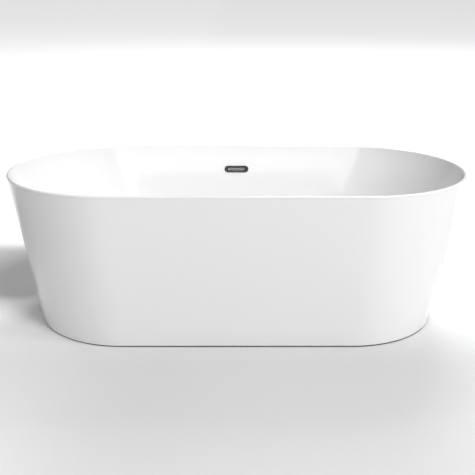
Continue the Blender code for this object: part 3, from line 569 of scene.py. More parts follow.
def screws(kind, corners, thread, facing):
    """The four screws of a kind, all with the first one's length, their heads facing up or down."""
    radius, pitch = thread
    first = None
    for corner in corners:
        low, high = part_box(f"{kind}_{corner}")
        if first is None:
            first = pan_head_screw(radius, high.z - low.z - HEAD_HEIGHT, pitch)
        middle = ((low.x + high.x) / 2, (low.y + high.y) / 2)
        if facing == "down":
            screw = seated(first.copy(), (*middle, low.z + HEAD_HEIGHT), (math.pi, 0, 0))
        else:
            screw = seated(first.copy(), (*middle, high.z - HEAD_HEIGHT))
        finished(screw, f"{kind}_{corner}", zinc.material)


screws("wood_screw", CORNERS[::2] + CORNERS[1::2], WOOD_THREAD, "down")
screws("bracket_screw", CORNERS, METAL_THREAD, "up")

# ------------------
# Skirt brackets. Angles folded from 2 mm zinc-plated strip, screwed on the crossbar ends, with
# a leg that leans with the skirt and is glued to it.

BRACKET_THICKNESS, BRACKET_CORNER, BRACKET_BEND = 0.002, 0.004, 0.0012


def skirt_bracket(half_width, near, face, rise):
    """The angle at the back: an L on its side, pushed out to its width."""
    thick, lean = BRACKET_THICKNESS, math.tan(SIDE_FLARE)
    outline = (
        (near, 0),
        (face, 0),
        (face + rise * lean, rise),
        (face + rise * lean - thick, rise),
        (face + thick * lean - thick, thick),
        (near, thick),
    )
    shape = bmesh.new()
    corners = [shape.verts.new((-half_width, y, z)) for y, z in outline]
    side = shape.faces.new(corners)
    pushed = bmesh.ops.extrude_face_region(shape, geom=[side])
    moved = [item for item in pushed["geom"] if isinstance(item, bmesh.types.BMVert)]
    bmesh.ops.translate(shape, vec=(2 * half_width, 0, 0), verts=moved)
    bends, tips = [], []
    for edge in shape.edges:
        run, middle = edge.verts[1].co - edge.verts[0].co, (edge.verts[0].co + edge.verts[1].co) / 2
        at_end = middle.y < near + thick or middle.z > rise - thick
        if abs(run.x) > half_width and not at_end:
            bends.append(edge)
        if abs(run.x) < thick and abs(run.length - thick) < thick / 10 and at_end:
            tips.append(edge)
    eased(shape, tips, BRACKET_CORNER, 4)
    eased(shape, bends, BRACKET_BEND, 4)
    return shape


for corner in CORNERS:
    node = f"skirt_bracket_{corner}"
    low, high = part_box(node)
    screw_low, screw_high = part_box(f"bracket_screw_{corner}")
    x, turn = (low.x + high.x) / 2, 0 if corner.startswith("back") else math.pi
    near, far = sorted((abs(low.y), abs(high.y)))
    rise = high.z - low.z
    face = far - rise * math.tan(SIDE_FLARE)
    bracket = skirt_bracket((high.x - low.x) / 2, near, face, rise)
    hole_y = abs(screw_low.y + screw_high.y) / 2
    bracket = carved(bracket, rod(BRACKET_HOLE, -HOLE_REACH, HOLE_REACH, (0, hole_y), SMALL))
    finished(seated(bracket, (x, 0, low.z), (0, 0, turn)), node, zinc.material)

# ------------------
# Levelling feet. A flanged nut is pressed into each crossbar, and a 12 mm stud with a hexagon for
# a spanner runs in it, held by a lock nut. The stud turns in a moulded rubber pad with a ribbed
# sole, and screws the tub up or down.

STUD_RADIUS, THREAD_CUT, THREAD_PITCH = 0.006, 0.0009, 0.00175
STUD_BORE, STUD_EASE = STUD_RADIUS + FIT, 0.0008
NUT_FLANGE, NUT_FLANGE_HEIGHT, NUT_SLEEVE, NUT_EASE = 0.013, 0.0025, 0.0085, 0.0006
STUD_FLATS, LOCK_FLATS = 0.017, 0.019
STUD_HEX_LOW, STUD_HEX_HIGH = 0.0203, 0.0263
PAD_RADIUS, PAD_NECK, SOCKET_FLOOR = 0.025, 0.013, 0.010
RIB_HEIGHT, RIB_RADII = 0.0008, (0.006, 0.010, 0.014, 0.018)


def hexagon(flats, low, high):
    """A hexagon bar end with its corners chamfered on both faces."""
    corner = flats / 2 / math.cos(math.radians(30))
    drop = (corner - flats / 2) * math.tan(math.radians(30))
    shape = rod(corner, low, high, steps=6)
    land = 0.985 * flats / 2
    barrel = [(0, low), (land, low), (corner, low + drop), (corner, high - drop), (land, high), (0, high)]
    return carved(shape, turned(barrel), "INTERSECT")


def bored(shape, radius, low, high, sink=0.0006):
    """The shape with a hole down its middle, countersunk at both mouths."""
    reach = 0.002
    wide = radius + sink + reach
    drill = [(0, low - reach), (wide, low - reach), (radius, low + sink), (radius, high - sink)]
    drill += [(wide, high + reach), (0, high + reach)]
    return carved(shape, turned(drill))


rubber = Finish("black_moulded_rubber", Specular_IOR_Level=0.35)
dust = rubber.grain(70, 4)
rubber.feed(
    Base_Color=rubber.blend(rubber.ramp(dust, 0.45, 0.8), (0.022, 0.022, 0.023), (0.065, 0.063, 0.06)),
    Roughness=0.62 + 0.25 * dust,
    Normal=rubber.bump(rubber.grain(900, 2), 0.0002, 0.5),
)

for corner in CORNERS:
    place = (*foot_places[corner], 0)
    low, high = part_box(f"foot_nut_{corner}")
    flange_top = low.z + NUT_FLANGE_HEIGHT
    nut_profile = [(0, low.z), (NUT_FLANGE - NUT_EASE, low.z), (NUT_FLANGE, low.z + NUT_EASE)]
    nut_profile += [(NUT_FLANGE, flange_top - NUT_EASE), (NUT_FLANGE - NUT_EASE, flange_top)]
    nut_profile += [(NUT_SLEEVE, flange_top), (NUT_SLEEVE, high.z - 0.001)]
    nut_profile += [(NUT_SLEEVE - NUT_EASE, high.z), (0, high.z)]
    foot_nut = bored(turned(nut_profile), STUD_BORE, low.z, high.z)
    finished(seated(foot_nut, place), f"foot_nut_{corner}", zinc.material)

    low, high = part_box(f"lock_nut_{corner}")
    lock_nut = bored(hexagon(LOCK_FLATS, low.z, high.z), STUD_BORE, low.z, high.z)
    finished(seated(lock_nut, place), f"lock_nut_{corner}", zinc.material)

    low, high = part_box(f"foot_stud_{corner}")
    neck = STUD_HEX_HIGH + 0.001
    spigot = [(0, low.z), (STUD_RADIUS - STUD_EASE, low.z), (STUD_RADIUS, low.z + STUD_EASE)]
    spigot += [(STUD_RADIUS, neck), (STUD_RADIUS - THREAD_CUT, neck + 0.001), (0, neck + 0.001)]
    stud = carved(turned(spigot), hexagon(STUD_FLATS, STUD_HEX_LOW, STUD_HEX_HIGH), "UNION")
    screwed = threaded(STUD_RADIUS, THREAD_CUT, THREAD_PITCH, neck, high.z)
    stud = seated(carved(stud, screwed, "UNION"), place)
    finished(stud, f"foot_stud_{corner}", zinc.material, body=f"stud_{corner}")

    low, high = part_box(f"foot_pad_{corner}")
    sole = [(0, RIB_HEIGHT)]
    for radius in RIB_RADII:
        sole += [(radius, RIB_HEIGHT), (radius + 0.0006, 0)]
        sole += [(radius + 0.0024, 0), (radius + 0.003, RIB_HEIGHT)]
    sole += [(PAD_RADIUS - 0.0035, RIB_HEIGHT), (PAD_RADIUS - 0.0028, 0), (PAD_RADIUS - 0.0008, 0)]
    sole += [(PAD_RADIUS, RIB_HEIGHT), (PAD_RADIUS, 0.0066), (PAD_RADIUS - 0.0004, 0.0076)]
    sole += [(PAD_RADIUS - 0.0014, 0.008), (PAD_NECK + 0.0035, 0.0086), (PAD_NECK + 0.0015, 0.0096)]
    sole += [(PAD_NECK + 0.0003, 0.0115), (PAD_NECK, 0.0135), (PAD_NECK, 0.0192)]
    sole += [(PAD_NECK - 0.0008, high.z)]
    sole += [(STUD_BORE + 0.0005, high.z), (STUD_BORE, high.z - 0.0005)]
    sole += [(STUD_BORE, SOCKET_FLOOR), (0, SOCKET_FLOOR)]
    pad = seated(turned(sole, 64), place)
    finished(pad, f"foot_pad_{corner}", rubber.material, body=f"foot_{corner}")

# ------------------
# Waste. A chromed brass flange with a threaded tube, whose spider holds the click-clack
# cartridge. A seal above, a washer and a hexagon nut below, clamp it through the basin floor.

DRAIN_RADIUS, DRAIN_BORE = 0.024, 0.020
FLANGE_RADIUS, FLANGE_THICKNESS, MOUTH = 0.035, 0.003, 0.0238
DRAIN_THREAD_CUT, DRAIN_PITCH = 0.0009, 0.0023
SPOKE, HUB_RADIUS, HUB_DROP, HUB_HEIGHT = 0.003, 0.011, 0.024, 0.010
DRAIN_NUT_FLATS = 0.062
CARTRIDGE_RADIUS, CARTRIDGE_FLANGE, GROOVES, GROOVE_STEP = 0.006, 0.009, 5, 0.002
STEM_RADIUS = 0.004
STEM_BORE = STEM_RADIUS + FIT

chrome = Finish("polished_chrome", Metallic=1.0)
chrome.feed(
    Base_Color=chrome.blend(chrome.grain(30, 2), (0.80, 0.80, 0.815), (0.87, 0.87, 0.88)),
    Roughness=0.05 + 0.09 * chrome.ramp(chrome.grain(90, 4), 0.4, 0.8),
)
brass = Finish("machined_brass", Metallic=1.0)
tarnish = brass.grain(55, 4)
brass.feed(
    Base_Color=brass.blend(brass.ramp(tarnish, 0.35, 0.8), (0.76, 0.56, 0.25), (0.55, 0.38, 0.16)),
    Roughness=0.2 + 0.25 * tarnish,
    Normal=brass.bump(brass.grain(500, 2, stretch=(0.1, 0.1, 4)), 0.0001, 0.5),
)

low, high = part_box("drain_body")
top, flange_low = high.z, high.z - FLANGE_THICKNESS
core = DRAIN_RADIUS - DRAIN_THREAD_CUT
flange = [(0, top), (MOUTH, top), (FLANGE_RADIUS - 0.0025, top)]
flange += [(FLANGE_RADIUS - 0.001, top - 0.0003), (FLANGE_RADIUS - 0.0002, top - 0.001)]
flange += [(FLANGE_RADIUS, top - 0.0018), (FLANGE_RADIUS, flange_low + 0.0003)]
flange += [(FLANGE_RADIUS - 0.0003, flange_low), (DRAIN_RADIUS, flange_low)]
flange += [(DRAIN_RADIUS, flange_low - 0.007), (core, flange_low - 0.008)]
flange += [(core, flange_low - 0.010), (0, flange_low - 0.010)]
drain = carved(
    turned(flange, FINE),
    threaded(DRAIN_RADIUS, DRAIN_THREAD_CUT, DRAIN_PITCH, low.z, flange_low - 0.009, 64),
    "UNION",
)
drain_bore = [(0, low.z - PAST), (DRAIN_BORE, low.z - PAST), (DRAIN_BORE, top - 0.0035)]
drain_bore += [(DRAIN_BORE + 0.0006, top - 0.0020), (DRAIN_BORE + 0.0020, top - 0.0008)]
drain_bore += [(MOUTH, top - 0.0001), (MOUTH + 0.0002, top + 0.001), (0, top + 0.001)]
drain = carved(drain, turned(drain_bore, FINE))
hub_top = high.z - HUB_DROP
spoke_reach = (DRAIN_BORE + core) / 2
spider = rod(HUB_RADIUS, hub_top - HUB_HEIGHT - FIT, hub_top)
for reach in ((spoke_reach, SPOKE / 2), (SPOKE / 2, spoke_reach)):
    spoke = bar((-reach[0], -reach[1], hub_top - HUB_HEIGHT), (*reach, hub_top - SPOKE), 2, 0)
    spider = carved(spider, spoke, "UNION")
spider = carved(spider, rod(CARTRIDGE_RADIUS + FIT, hub_top - 2 * HUB_HEIGHT, hub_top + HUB_HEIGHT))
finished(carved(drain, spider, "UNION"), "drain_body", chrome.material)


def soft_ring(node, corner):
    """A flat ring with round arrises."""
    low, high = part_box(node)
    outer, inner = high.x, DRAIN_RADIUS + FIT
    profile = [(outer - corner, high.z), (outer, high.z - corner), (outer, low.z + corner)]
    profile += [(outer - corner, low.z), (inner + corner, low.z), (inner, low.z + corner)]
    profile += [(inner, high.z - corner), (inner + corner, high.z)]
    finished(turned(profile, FINE, closed=True), node, rubber.material)


soft_ring("drain_seal", 0.0003)
soft_ring("drain_washer", 0.0006)
low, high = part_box("drain_nut")
drain_nut = hexagon(DRAIN_NUT_FLATS, low.z, high.z)
drain_nut = bored(drain_nut, DRAIN_RADIUS + FIT, low.z, high.z, 0.0008)
finished(drain_nut, "drain_nut", brass.material)

low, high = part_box("plug_cartridge")
cartridge_seat = high.z - 0.0015
sleeve = [(STEM_BORE + 0.0003, high.z), (CARTRIDGE_FLANGE - 0.0004, high.z)]
sleeve += [(CARTRIDGE_FLANGE, high.z - 0.0004), (CARTRIDGE_FLANGE, cartridge_seat)]
for groove in range(GROOVES):
    top = cartridge_seat - 0.012 - GROOVE_STEP * groove
    above = cartridge_seat if groove == 0 else top + 0.0008
    sleeve += [(CARTRIDGE_RADIUS, above), (CARTRIDGE_RADIUS, top)]
    sleeve += [(CARTRIDGE_RADIUS - 0.0004, top - 0.0002), (CARTRIDGE_RADIUS - 0.0004, top - 0.0010)]
sleeve += [(CARTRIDGE_RADIUS, low.z + 0.003), (CARTRIDGE_RADIUS, low.z + 0.0006)]
sleeve += [(CARTRIDGE_RADIUS - 0.0006, low.z), (STEM_BORE, low.z), (STEM_BORE, high.z - 0.0003)]
finished(turned(sleeve, closed=True), "plug_cartridge", brass.material)

# ------------------
# Plug. A domed chrome cap with a rubber seal under it, on a brass stem that slides in the
# cartridge. Pressed, it clicks up by 10 mm or down again.

CAP_RADIUS, CAP_EDGE, CAP_CROWN = 0.031, 0.0025, 0.0025
CAP_BOSS, CAP_SOCKET = 0.007, 0.006
CROWN_STEPS, EDGE_STEPS = 8, 6

low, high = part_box("plug_cap")
cap_low = high.z - CAP_EDGE - CAP_CROWN
cap = []
for step in range(CROWN_STEPS + 1):
    share = step / CROWN_STEPS
    cap.append((share * (CAP_RADIUS - CAP_EDGE / 2), high.z - CAP_CROWN * share**2))
for step in range(1, EDGE_STEPS + 1):
    angle = math.pi / 2 * step / EDGE_STEPS
    reach = CAP_RADIUS - CAP_EDGE / 2 * (1 - math.sin(angle))
    cap.append((reach, cap_low + CAP_EDGE / 2 * (1 + math.cos(angle))))
cap += [(CAP_RADIUS, cap_low + 0.0004), (CAP_RADIUS - 0.0004, cap_low), (CAP_BOSS, cap_low)]
cap += [(CAP_BOSS, low.z + 0.0004), (CAP_BOSS - 0.0004, low.z), (STEM_BORE, low.z)]
cap += [(STEM_BORE, low.z + CAP_SOCKET), (0, low.z + CAP_SOCKET)]
finished(turned(cap, FINE), "plug_cap", chrome.material, body="plug")

low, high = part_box("plug_seal")
outer, inner = high.x, CAP_BOSS + FIT
seal = [(outer - 0.0025, high.z), (outer - 0.0008, high.z - 0.0006), (outer, high.z - 0.0013)]
seal += [(outer - 0.0004, high.z - 0.002), (outer - 0.003, low.z), (inner, low.z), (inner, high.z)]
finished(turned(seal, FINE, closed=True), "plug_seal", rubber.material, body="plug")

low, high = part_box("plug_stem")
stem = [(0, high.z), (STEM_RADIUS - 0.0004, high.z), (STEM_RADIUS, high.z - 0.0004)]
stem += [(STEM_RADIUS, low.z + 0.0006), (STEM_RADIUS - 0.0006, low.z), (0, low.z)]
finished(turned(stem), "plug_stem", brass.material, body="plug")

# ------------------
# Pipework. A white moulded tee pushed on the waste's tube, a 40 mm tailpiece for the floor waste
# below with its ribbed nut, and a branch at the back that takes the overflow pipe.

TEE_RADIUS, BRANCH_RADIUS, BRANCH_LENGTH = 0.029, 0.0165, 0.070
OUTLET_RADIUS, TAIL_RADIUS, TAIL_WALL = 0.0235, 0.020, 0.002
PIPE_RADIUS, PIPE_WALL, PIPE_BEND = 0.0125, 0.0015, 0.055
TEE_BODY, TEE_LIP, PIPE_SOCKET, TAIL_SOCKET, SOCKET_DEPTH = 0.044, 0.0012, 0.025, 0.0143, 0.018
TAIL_NUT, TAIL_NUT_EASE, PIPE_ROUND = 0.030, 0.0015, 64
TEE_TOP = UNDERSIDE - 0.027
TEE_BOTTOM = TEE_TOP - TEE_BODY
BRANCH_HEIGHT = TEE_BOTTOM + 0.0175
OUTLET_END = TEE_BOTTOM - SOCKET_DEPTH

plastic = Finish("white_moulded_plastic", IOR=1.49)
mottle = plastic.grain(18, 3)
plastic.feed(
    Base_Color=plastic.blend(mottle, (0.78, 0.78, 0.765), (0.84, 0.84, 0.83)),
    Roughness=0.38 + 0.14 * plastic.grain(160, 2),
    Normal=plastic.bump(plastic.grain(1400, 1), 0.00012, 0.5),
)


def lipped(radius, low, high, lip, band):
    """A round solid with chamfered arrises, thinner by the lip but for a band at its upper end."""
    arris, thin = 0.0005, radius - lip
    profile = [(0, low), (thin - arris, low), (thin, low + arris), (thin, high - band - lip)]
    profile += [(radius, high - band), (radius, high - arris), (radius - arris, high), (0, high)]
    return turned(profile, PIPE_ROUND)


to_back = ((0, 0, BRANCH_HEIGHT), (-math.pi / 2, 0, 0))
tee = lipped(TEE_RADIUS, TEE_BOTTOM, TEE_TOP, TEE_LIP, 0.007)
for limb in (
    seated(lipped(BRANCH_RADIUS, 0, BRANCH_LENGTH, 0.0008, 0.003), *to_back),
    lipped(OUTLET_RADIUS, OUTLET_END, TEE_BOTTOM + 0.009, 0.0009, 0.013),
):
    tee = carved(tee, limb, "UNION")
for hollow in (
    rod(DRAIN_RADIUS + FIT, TEE_TOP - SOCKET_DEPTH, TEE_TOP + SOCKET_DEPTH, steps=PIPE_ROUND),
    rod(TAIL_RADIUS - TAIL_WALL, OUTLET_END - SOCKET_DEPTH, TEE_TOP, steps=PIPE_ROUND),
    seated(rod(PIPE_RADIUS - PIPE_WALL, 0, 2 * BRANCH_LENGTH), *to_back),
    seated(rod(PIPE_RADIUS + FIT, BRANCH_LENGTH - PIPE_SOCKET, 2 * BRANCH_LENGTH), *to_back),
    rod(TAIL_RADIUS + FIT, OUTLET_END - SOCKET_DEPTH, OUTLET_END + TAIL_SOCKET, steps=PIPE_ROUND),
):
    tee = carved(tee, hollow)
finished(tee, "waste_tee", plastic.material)

low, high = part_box("tailpiece")
inner = TAIL_RADIUS - TAIL_WALL
tail = [(TAIL_RADIUS - 0.0008, low.z), (TAIL_RADIUS, low.z + 0.0016), (TAIL_RADIUS, high.z - 0.0006)]
tail += [(TAIL_RADIUS - 0.0006, high.z), (inner, high.z), (inner, low.z)]
finished(turned(tail, PIPE_ROUND, closed=True), "tailpiece", plastic.material)


def grip_nut(profile, ribs, depth):
    """Turns a nut and presses grip ribs into its outside."""
    shape = turned(profile, 6 * ribs, closed=True)
    outside = max(reach for reach, height in profile)
    for vert in shape.verts:
        reach = math.hypot(vert.co.x, vert.co.y)
        if reach > outside - 2 * TOUCHING:
            wave = 1 + math.cos(ribs * math.atan2(vert.co.y, vert.co.x))
            share = 1 - depth * wave / 2 / reach
            vert.co.x *= share
            vert.co.y *= share
    return shape


low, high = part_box("tailpiece_nut")
shelf = low.z + 2 * TAIL_NUT_EASE
tail_nut = [(TAIL_NUT - TAIL_NUT_EASE, high.z), (TAIL_NUT, high.z - TAIL_NUT_EASE)]
tail_nut += [(TAIL_NUT, low.z + TAIL_NUT_EASE), (TAIL_NUT - TAIL_NUT_EASE, low.z)]
tail_nut += [(TAIL_RADIUS + FIT, low.z), (TAIL_RADIUS + FIT, shelf)]
tail_nut += [(OUTLET_RADIUS + FIT, shelf), (OUTLET_RADIUS + FIT, high.z)]
tail_grips = grip_nut(tail_nut, 24, 0.0011)
finished(tail_grips, "tailpiece_nut", plastic.material, crease=45)

# ------------------
# Overflow pipe. A rigid 25 mm pipe with one drawn bend, from the duct behind the basin down to
# the tee's branch, where a ribbed compression nut holds it.

SPIGOT_WALL, SPIGOT_LENGTH, SPIGOT_CLEAR = 0.0015, 0.025, 0.0015
SPIGOT_RADIUS = PIPE_RADIUS + FIT + SPIGOT_WALL
SKIRT_INSIDE = SKIRT_INSET + SKIN
PIPE_NUT, PIPE_NUT_EASE = 0.0210, 0.0012
spigot_space = 2 * (SPIGOT_RADIUS + SPIGOT_CLEAR)
rim_space = skirt_level(RIM_EDGE, SKIRT_INSIDE)[1] - basin_level(RIM_EDGE, SKIN)[1]
THROAT = RIM_EDGE - (spigot_space - rim_space) / (math.tan(SIDE_SLOPE) - math.tan(SIDE_FLARE))
spigot_y = (basin_level(THROAT, SKIN)[1] + skirt_level(THROAT, SKIRT_INSIDE)[1]) / 2
spigot_seat = ((0, spigot_y, THROAT), (-SIDE_FLARE, 0, 0))


def drawn_bar(radius, past_ends):
    """A round bar along the pipe's line: level, round the bend, then up and leaning back."""
    bend_z = BRANCH_HEIGHT + PIPE_BEND
    fall = THROAT - bend_z + PIPE_BEND * math.sin(SIDE_FLARE)
    bend_y = spigot_y - fall * math.tan(SIDE_FLARE) - PIPE_BEND * math.cos(SIDE_FLARE)
    start_y = BRANCH_LENGTH - PIPE_SOCKET + FIT - past_ends
    rise = fall / math.cos(SIDE_FLARE) - FIT + past_ends
    leaning = (0, rise * math.sin(SIDE_FLARE), rise * math.cos(SIDE_FLARE))
    shape = bmesh.new()
    bmesh.ops.create_circle(shape, cap_ends=False, segments=32, radius=radius)
    seated(shape, (0, start_y, BRANCH_HEIGHT), (-math.pi / 2, 0, 0))
    tip = shape.edges[:]
    for run in ((0, bend_y - start_y, 0), None, leaning):
        if run is None:
            pushed = bmesh.ops.spin(
                shape,
                geom=tip + list({vert for edge in tip for vert in edge.verts}),
                cent=(0, bend_y, bend_z),
                axis=(1, 0, 0),
                angle=math.pi / 2 - SIDE_FLARE,
                steps=18,
            )["geom_last"]
        else:
            pushed = bmesh.ops.extrude_edge_only(shape, edges=tip)["geom"]
            moved = [item for item in pushed if isinstance(item, bmesh.types.BMVert)]
            bmesh.ops.translate(shape, vec=run, verts=moved)
        ring = {item for item in pushed if isinstance(item, bmesh.types.BMVert)}
        tip = [edge for edge in shape.edges if ring.issuperset(edge.verts)]
    bmesh.ops.holes_fill(shape, edges=[edge for edge in shape.edges if edge.is_boundary])
    bmesh.ops.recalc_face_normals(shape, faces=shape.faces)
    return shape


pipe = carved(drawn_bar(PIPE_RADIUS, 0), drawn_bar(PIPE_RADIUS - PIPE_WALL, 0.002))
finished(pipe, "overflow_pipe", plastic.material)

nut_low, nut_high = BRANCH_LENGTH - 0.010, BRANCH_LENGTH + 0.008
shelf = BRANCH_LENGTH + FIT
pipe_nut = [(PIPE_NUT - 0.001, nut_high), (PIPE_NUT, nut_high - PIPE_NUT_EASE)]
pipe_nut += [(PIPE_NUT, nut_low + PIPE_NUT_EASE), (PIPE_NUT - 0.001, nut_low)]
pipe_nut += [(BRANCH_RADIUS + FIT, nut_low), (BRANCH_RADIUS + FIT, shelf)]
pipe_nut += [(PIPE_RADIUS + FIT, shelf), (PIPE_RADIUS + FIT, nut_high)]
pipe_grips = seated(grip_nut(pipe_nut, 20, 0.0009), *to_back)
finished(pipe_grips, "pipe_nut", plastic.material, crease=45)

# ------------------
# Overflow duct. A flat moulded box behind the slot that narrows to a round spigot for the pipe,
# with a rubber gasket between it and the back of the basin's wall.

DUCT_WALL, DUCT_EDGE = 0.0018, 0.0016
DUCT_HALF, THROAT_HALF, DUCT_CLEAR = 0.055, 0.017, 0.001
GASKET_MARGIN, GASKET_THICKNESS, GASKET_EASE = 0.007, 0.0015, 0.0004
DUCT_STACK = SKIN + 2 * FIT + GASKET_THICKNESS  # from the basin's inside to the duct's front


def duct_block(levels, margin):
    """A block with a waist, moved out to the duct's width and to the skins on both sides."""
    shape = bmesh.new()
    bmesh.ops.create_cube(shape, size=2)
    everything = shape.verts[:] + shape.edges[:] + shape.faces[:]
    bmesh.ops.bisect_plane(shape, geom=everything, plane_co=(0, 0, 0), plane_no=(0, 0, 1))
    for vert in shape.verts:
        height, half_width = levels[round(vert.co.z) + 1]
        front = basin_level(height)[1] + DUCT_STACK / math.cos(SIDE_SLOPE) + margin
        back = skirt_level(height, SKIRT_INSIDE)[1] - DUCT_CLEAR - margin
        face = front if vert.co.y < 0 else back
        vert.co = (math.copysign(half_width - margin, vert.co.x), face, height)
    shape.normal_update()
    return shape


duct_top, duct_shoulder = OVERFLOW_HEIGHT + 0.022, OVERFLOW_HEIGHT - 0.060
duct = duct_block(((THROAT, THROAT_HALF), (duct_shoulder, DUCT_HALF), (duct_top, DUCT_HALF)), 0)
sharp = [edge for edge in duct.edges if edge.calc_face_angle() > math.radians(20)]
eased(duct, sharp, DUCT_EDGE, 3)
spigot = rod(SPIGOT_RADIUS, -SPIGOT_LENGTH, DUCT_WALL / 2)
duct = carved(duct, seated(spigot, *spigot_seat), "UNION")
floor_up, roof_down = THROAT + DUCT_WALL, duct_top - DUCT_WALL
inside = ((floor_up, THROAT_HALF), (duct_shoulder, DUCT_HALF), (roof_down, DUCT_HALF))
duct = carved(duct, duct_block(inside, DUCT_WALL))
duct = carved(duct, seated(rod(PIPE_RADIUS - PIPE_WALL, -DUCT_WALL, 3 * DUCT_WALL), *spigot_seat))
duct = carved(duct, seated(rod(PIPE_RADIUS + FIT, -2 * SPIGOT_LENGTH, 0), *spigot_seat))
window_depths = (-DUCT_STACK - 1.5 * DUCT_WALL, GASKET_THICKNESS - DUCT_STACK)
window = wrapped([(*SLOT_CUT, depth) for depth in window_depths])
duct = carved(duct, seated(window, *overflow_seat))
finished(duct, "overflow_duct", plastic.material)



def grown(oval, by, height):
    """A level as an oval made wider all round."""
    return (oval[0] + by, oval[1] + by, oval[2], height)


gasket_front = -SKIN - FIT
gasket_back = gasket_front - GASKET_THICKNESS
gasket_levels = [
    grown(SLOT_CUT, GASKET_MARGIN - GASKET_EASE, gasket_back),
    grown(SLOT_CUT, GASKET_MARGIN, gasket_back + GASKET_EASE),
    grown(SLOT_CUT, GASKET_MARGIN, gasket_front - GASKET_EASE),
    grown(SLOT_CUT, GASKET_MARGIN - GASKET_EASE, gasket_front),
    grown(SLOT_CUT, 0, gasket_front),
    grown(SLOT_CUT, 0, gasket_back),
]
gasket = seated(wrapped(gasket_levels, closed=True), *overflow_seat)
finished(gasket, "overflow_gasket", rubber.material)

# ------------------
# Overflow cover. A pressed obround plate with eased edges, plated dark, whose slot is chamfered
# and left bright. Its sleeve plugs through the basin's wall into the duct behind.

PLATE = (0.050, 0.014, 0.036)
SLOT = (0.034, 0.0035, 0.0305)
SLEEVE = (0.042, 0.0085, 0.0335)
PLATE_BACK, PLATE_FACE = FIT, 0.0028
PLATE_EDGE, PLATE_STEPS, SLOT_CHAMFER = 0.0009, 5, 0.0008
SLEEVE_END, SLEEVE_EASE = -0.0089, 0.0005

cover_levels = [grown(PLATE, 0, PLATE_BACK)]
for step in range(PLATE_STEPS + 1):
    angle = math.pi / 2 * step / PLATE_STEPS
    height = PLATE_FACE - PLATE_EDGE * (1 - math.sin(angle))
    cover_levels.append(grown(PLATE, -PLATE_EDGE * (1 - math.cos(angle)), height))
cover_levels += [
    grown(SLOT, SLOT_CHAMFER + 0.0002, PLATE_FACE),
    grown(SLOT, SLOT_CHAMFER, PLATE_FACE - 0.0001),
    grown(SLOT, 0, PLATE_FACE - SLOT_CHAMFER),
    grown(SLOT, 0, SLEEVE_END),
    grown(SLEEVE, -SLEEVE_EASE, SLEEVE_END),
    grown(SLEEVE, 0, SLEEVE_END + SLEEVE_EASE),
    grown(SLEEVE, 0, PLATE_BACK),
]
cover = wrapped(cover_levels, closed=True)
for face in cover.faces:
    middle = face.calc_center_median()
    in_slot = abs(middle.y) < SLOT[1] + SLOT_CHAMFER and abs(middle.x) < SLOT[0] + SLOT_CHAMFER
    face.material_index = 1 if in_slot else 0

dark_chrome = Finish("dark_plated_brass", Metallic=1.0, Roughness=0.2)
smear = dark_chrome.grain(60, 3)
dark_chrome.feed(
    Base_Color=dark_chrome.blend(smear, (0.035, 0.035, 0.037), (0.06, 0.06, 0.063)),
    Roughness=0.16 + 0.12 * dark_chrome.grain(140, 2),
)
slot_plating = Finish("bright_slot_plating", Metallic=0.6, Roughness=0.3)
slot_plating.feed(
    Base_Color=slot_plating.blend(slot_plating.grain(90, 2), (0.86, 0.86, 0.87), (0.93, 0.93, 0.94)),
)
cover_piece = finished(
    seated(cover, *overflow_seat), "overflow_cover", dark_chrome.material, crease=28
)
cover_piece.data.materials.append(slot_plating.material)

# ------------------
# The room: a pale floor that fades to white behind, with painted light and shade on it: painted shade
# under the tub, just in front of it and far to its left, and a painted shadow and a faint painted glow
# to its left. Five large soft lights, the strongest from the front right and high up, and a dim white
# sky.

LIT_POINT = (0, 0, 0.2)

floor_shape = bmesh.new()
bmesh.ops.create_grid(floor_shape, x_segments=8, y_segments=8, size=40)
floor_mesh = bpy.data.meshes.new("floor")
floor_shape.to_mesh(floor_mesh)
floor_shape.free()
floor = bpy.data.objects.new("floor", floor_mesh)
bpy.context.scene.collection.objects.link(floor)
pale = Finish("pale_floor", Roughness=0.6, Specular_IOR_Level=0.2, Emission_Strength=1.0)
depth, across = pale.axis("Y"), pale.axis("X")
tub_foot = skirt_level(SKIRT_FOOT, SKIRT_INSET)
beside = pale.node("ShaderNodeMath", {"operation": "ABSOLUTE"}, {0: across})
left = 1 - pale.ramp(across, -0.8, -0.2)
# Painted shadow on the floor to the tub's left: a band from 0.72 to 2.4 m left of the middle, from 0.02
# to 0.85 m behind it.
shaded_side = pale.ramp(across, -2.4, -1.5) - pale.ramp(across, -0.88, -0.72)
behind = pale.ramp(depth, 0.62, 0.85)
shade = shaded_side * (pale.ramp(depth, 0.02, 0.15) - behind)
# Painted light and shade: the floor darker just in front of the tub, lighter farther in front, to its
# sides and behind it.
front = 0.30 * (1 - pale.ramp(depth, -0.95, -0.45))
painted_light_and_shade = pale.ramp(depth, -0.55, 0.35) + 0.45 * pale.ramp(beside, 0.4, 1.1) + front
# The floor glows white behind as a backdrop, but not within the band of the painted shadow at the tub's
# left, short of 0.85 m behind.
backdrop = 0.6 * pale.ramp(depth, 0.4, 1.4) * (1 - shaded_side * (1 - behind))
# Painted shade: the floor far to the tub's left, beyond about 1.1 to 1.6 m, greyed halfway to dark grey,
# fading out from 0.5 to 1.2 m behind.
painted_shade_far_left = (1 - pale.ramp(across + 0.3 * depth, -1.6, -1.05)) * (1 - pale.ramp(depth, 0.5, 1.2))
# Painted shade under the tub: the floor within its foot outline is near black.
past_straight = pale.node("ShaderNodeMath", {"operation": "MAXIMUM"}, {0: beside - tub_foot[2], 1: 0.0})
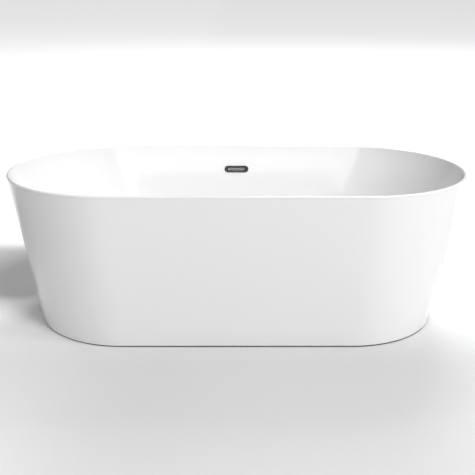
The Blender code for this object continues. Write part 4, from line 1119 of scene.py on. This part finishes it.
along, deep = past_straight * (1 / (tub_foot[0] - tub_foot[2])), depth * (1 / tub_foot[1])
from_middle = pale.node("ShaderNodeMath", {"operation": "SQRT"}, {0: along * along + deep * deep})
under = 1 - pale.ramp(from_middle, 0.985, 1.0)
# Painted light: a faint glow on the floor to the tub's left, stronger in front of it.
painted_glow_left = left * (0.02 + 0.10 * (1 - pale.ramp(depth, -0.12, 0.1)))
open_floor = pale.blend(painted_light_and_shade - 1.5 * shade, (0.64, 0.64, 0.645), (0.97, 0.97, 0.97))
open_floor = pale.blend(0.5 * painted_shade_far_left, open_floor, (0.25, 0.25, 0.255))
pale.feed(
    Base_Color=pale.blend(under, open_floor, (0.06, 0.06, 0.06)),
    Emission_Color=pale.blend(backdrop + painted_glow_left, (0, 0, 0), (1, 1, 1)),
)
floor_mesh.materials.append(pale.material)

sky = bpy.data.worlds.new("studio_sky")
sky.use_nodes = True
sky.node_tree.nodes["Background"].inputs["Color"].default_value = (1, 1, 1, 1)
sky.node_tree.nodes["Background"].inputs["Strength"].default_value = 0.13
bpy.context.scene.world = sky


def soft_light(name, at, size, power):
    """A square lamp that faces the tub."""
    light = bpy.data.lights.new(name, "AREA")
    light.shape, light.size, light.energy = "SQUARE", size, power
    lamp = bpy.data.objects.new(name, light)
    lamp.location = at
    facing = Matrix.Translation(LIT_POINT).translation - Matrix.Translation(at).translation
    lamp.rotation_euler = facing.to_track_quat("-Z", "Y").to_euler()
    bpy.context.scene.collection.objects.link(lamp)


soft_light("key_light", (3.9, -6.2, 10.9), 3.4, 835)
soft_light("right_light", (8, -3, 7), 3, 292)
soft_light("back_light", (2, 7, 7), 3.5, 308)
soft_light("front_light", (0, -10, 3.2), 4, 142)
soft_light("top_light", (0, 0.5, 9), 3.5, 56)

lens = bpy.data.cameras.new("camera")
lens.lens, lens.sensor_width, lens.shift_x = 62.0, 36.0, 0.0022
camera = bpy.data.objects.new("camera", lens)
camera.location = (0, -2.99, 1.28)
camera.rotation_euler = (math.radians(90 - 18.4), 0, 0)
bpy.context.scene.collection.objects.link(camera)
bpy.context.scene.camera = camera
bpy.context.scene.view_settings.view_transform = "Standard"
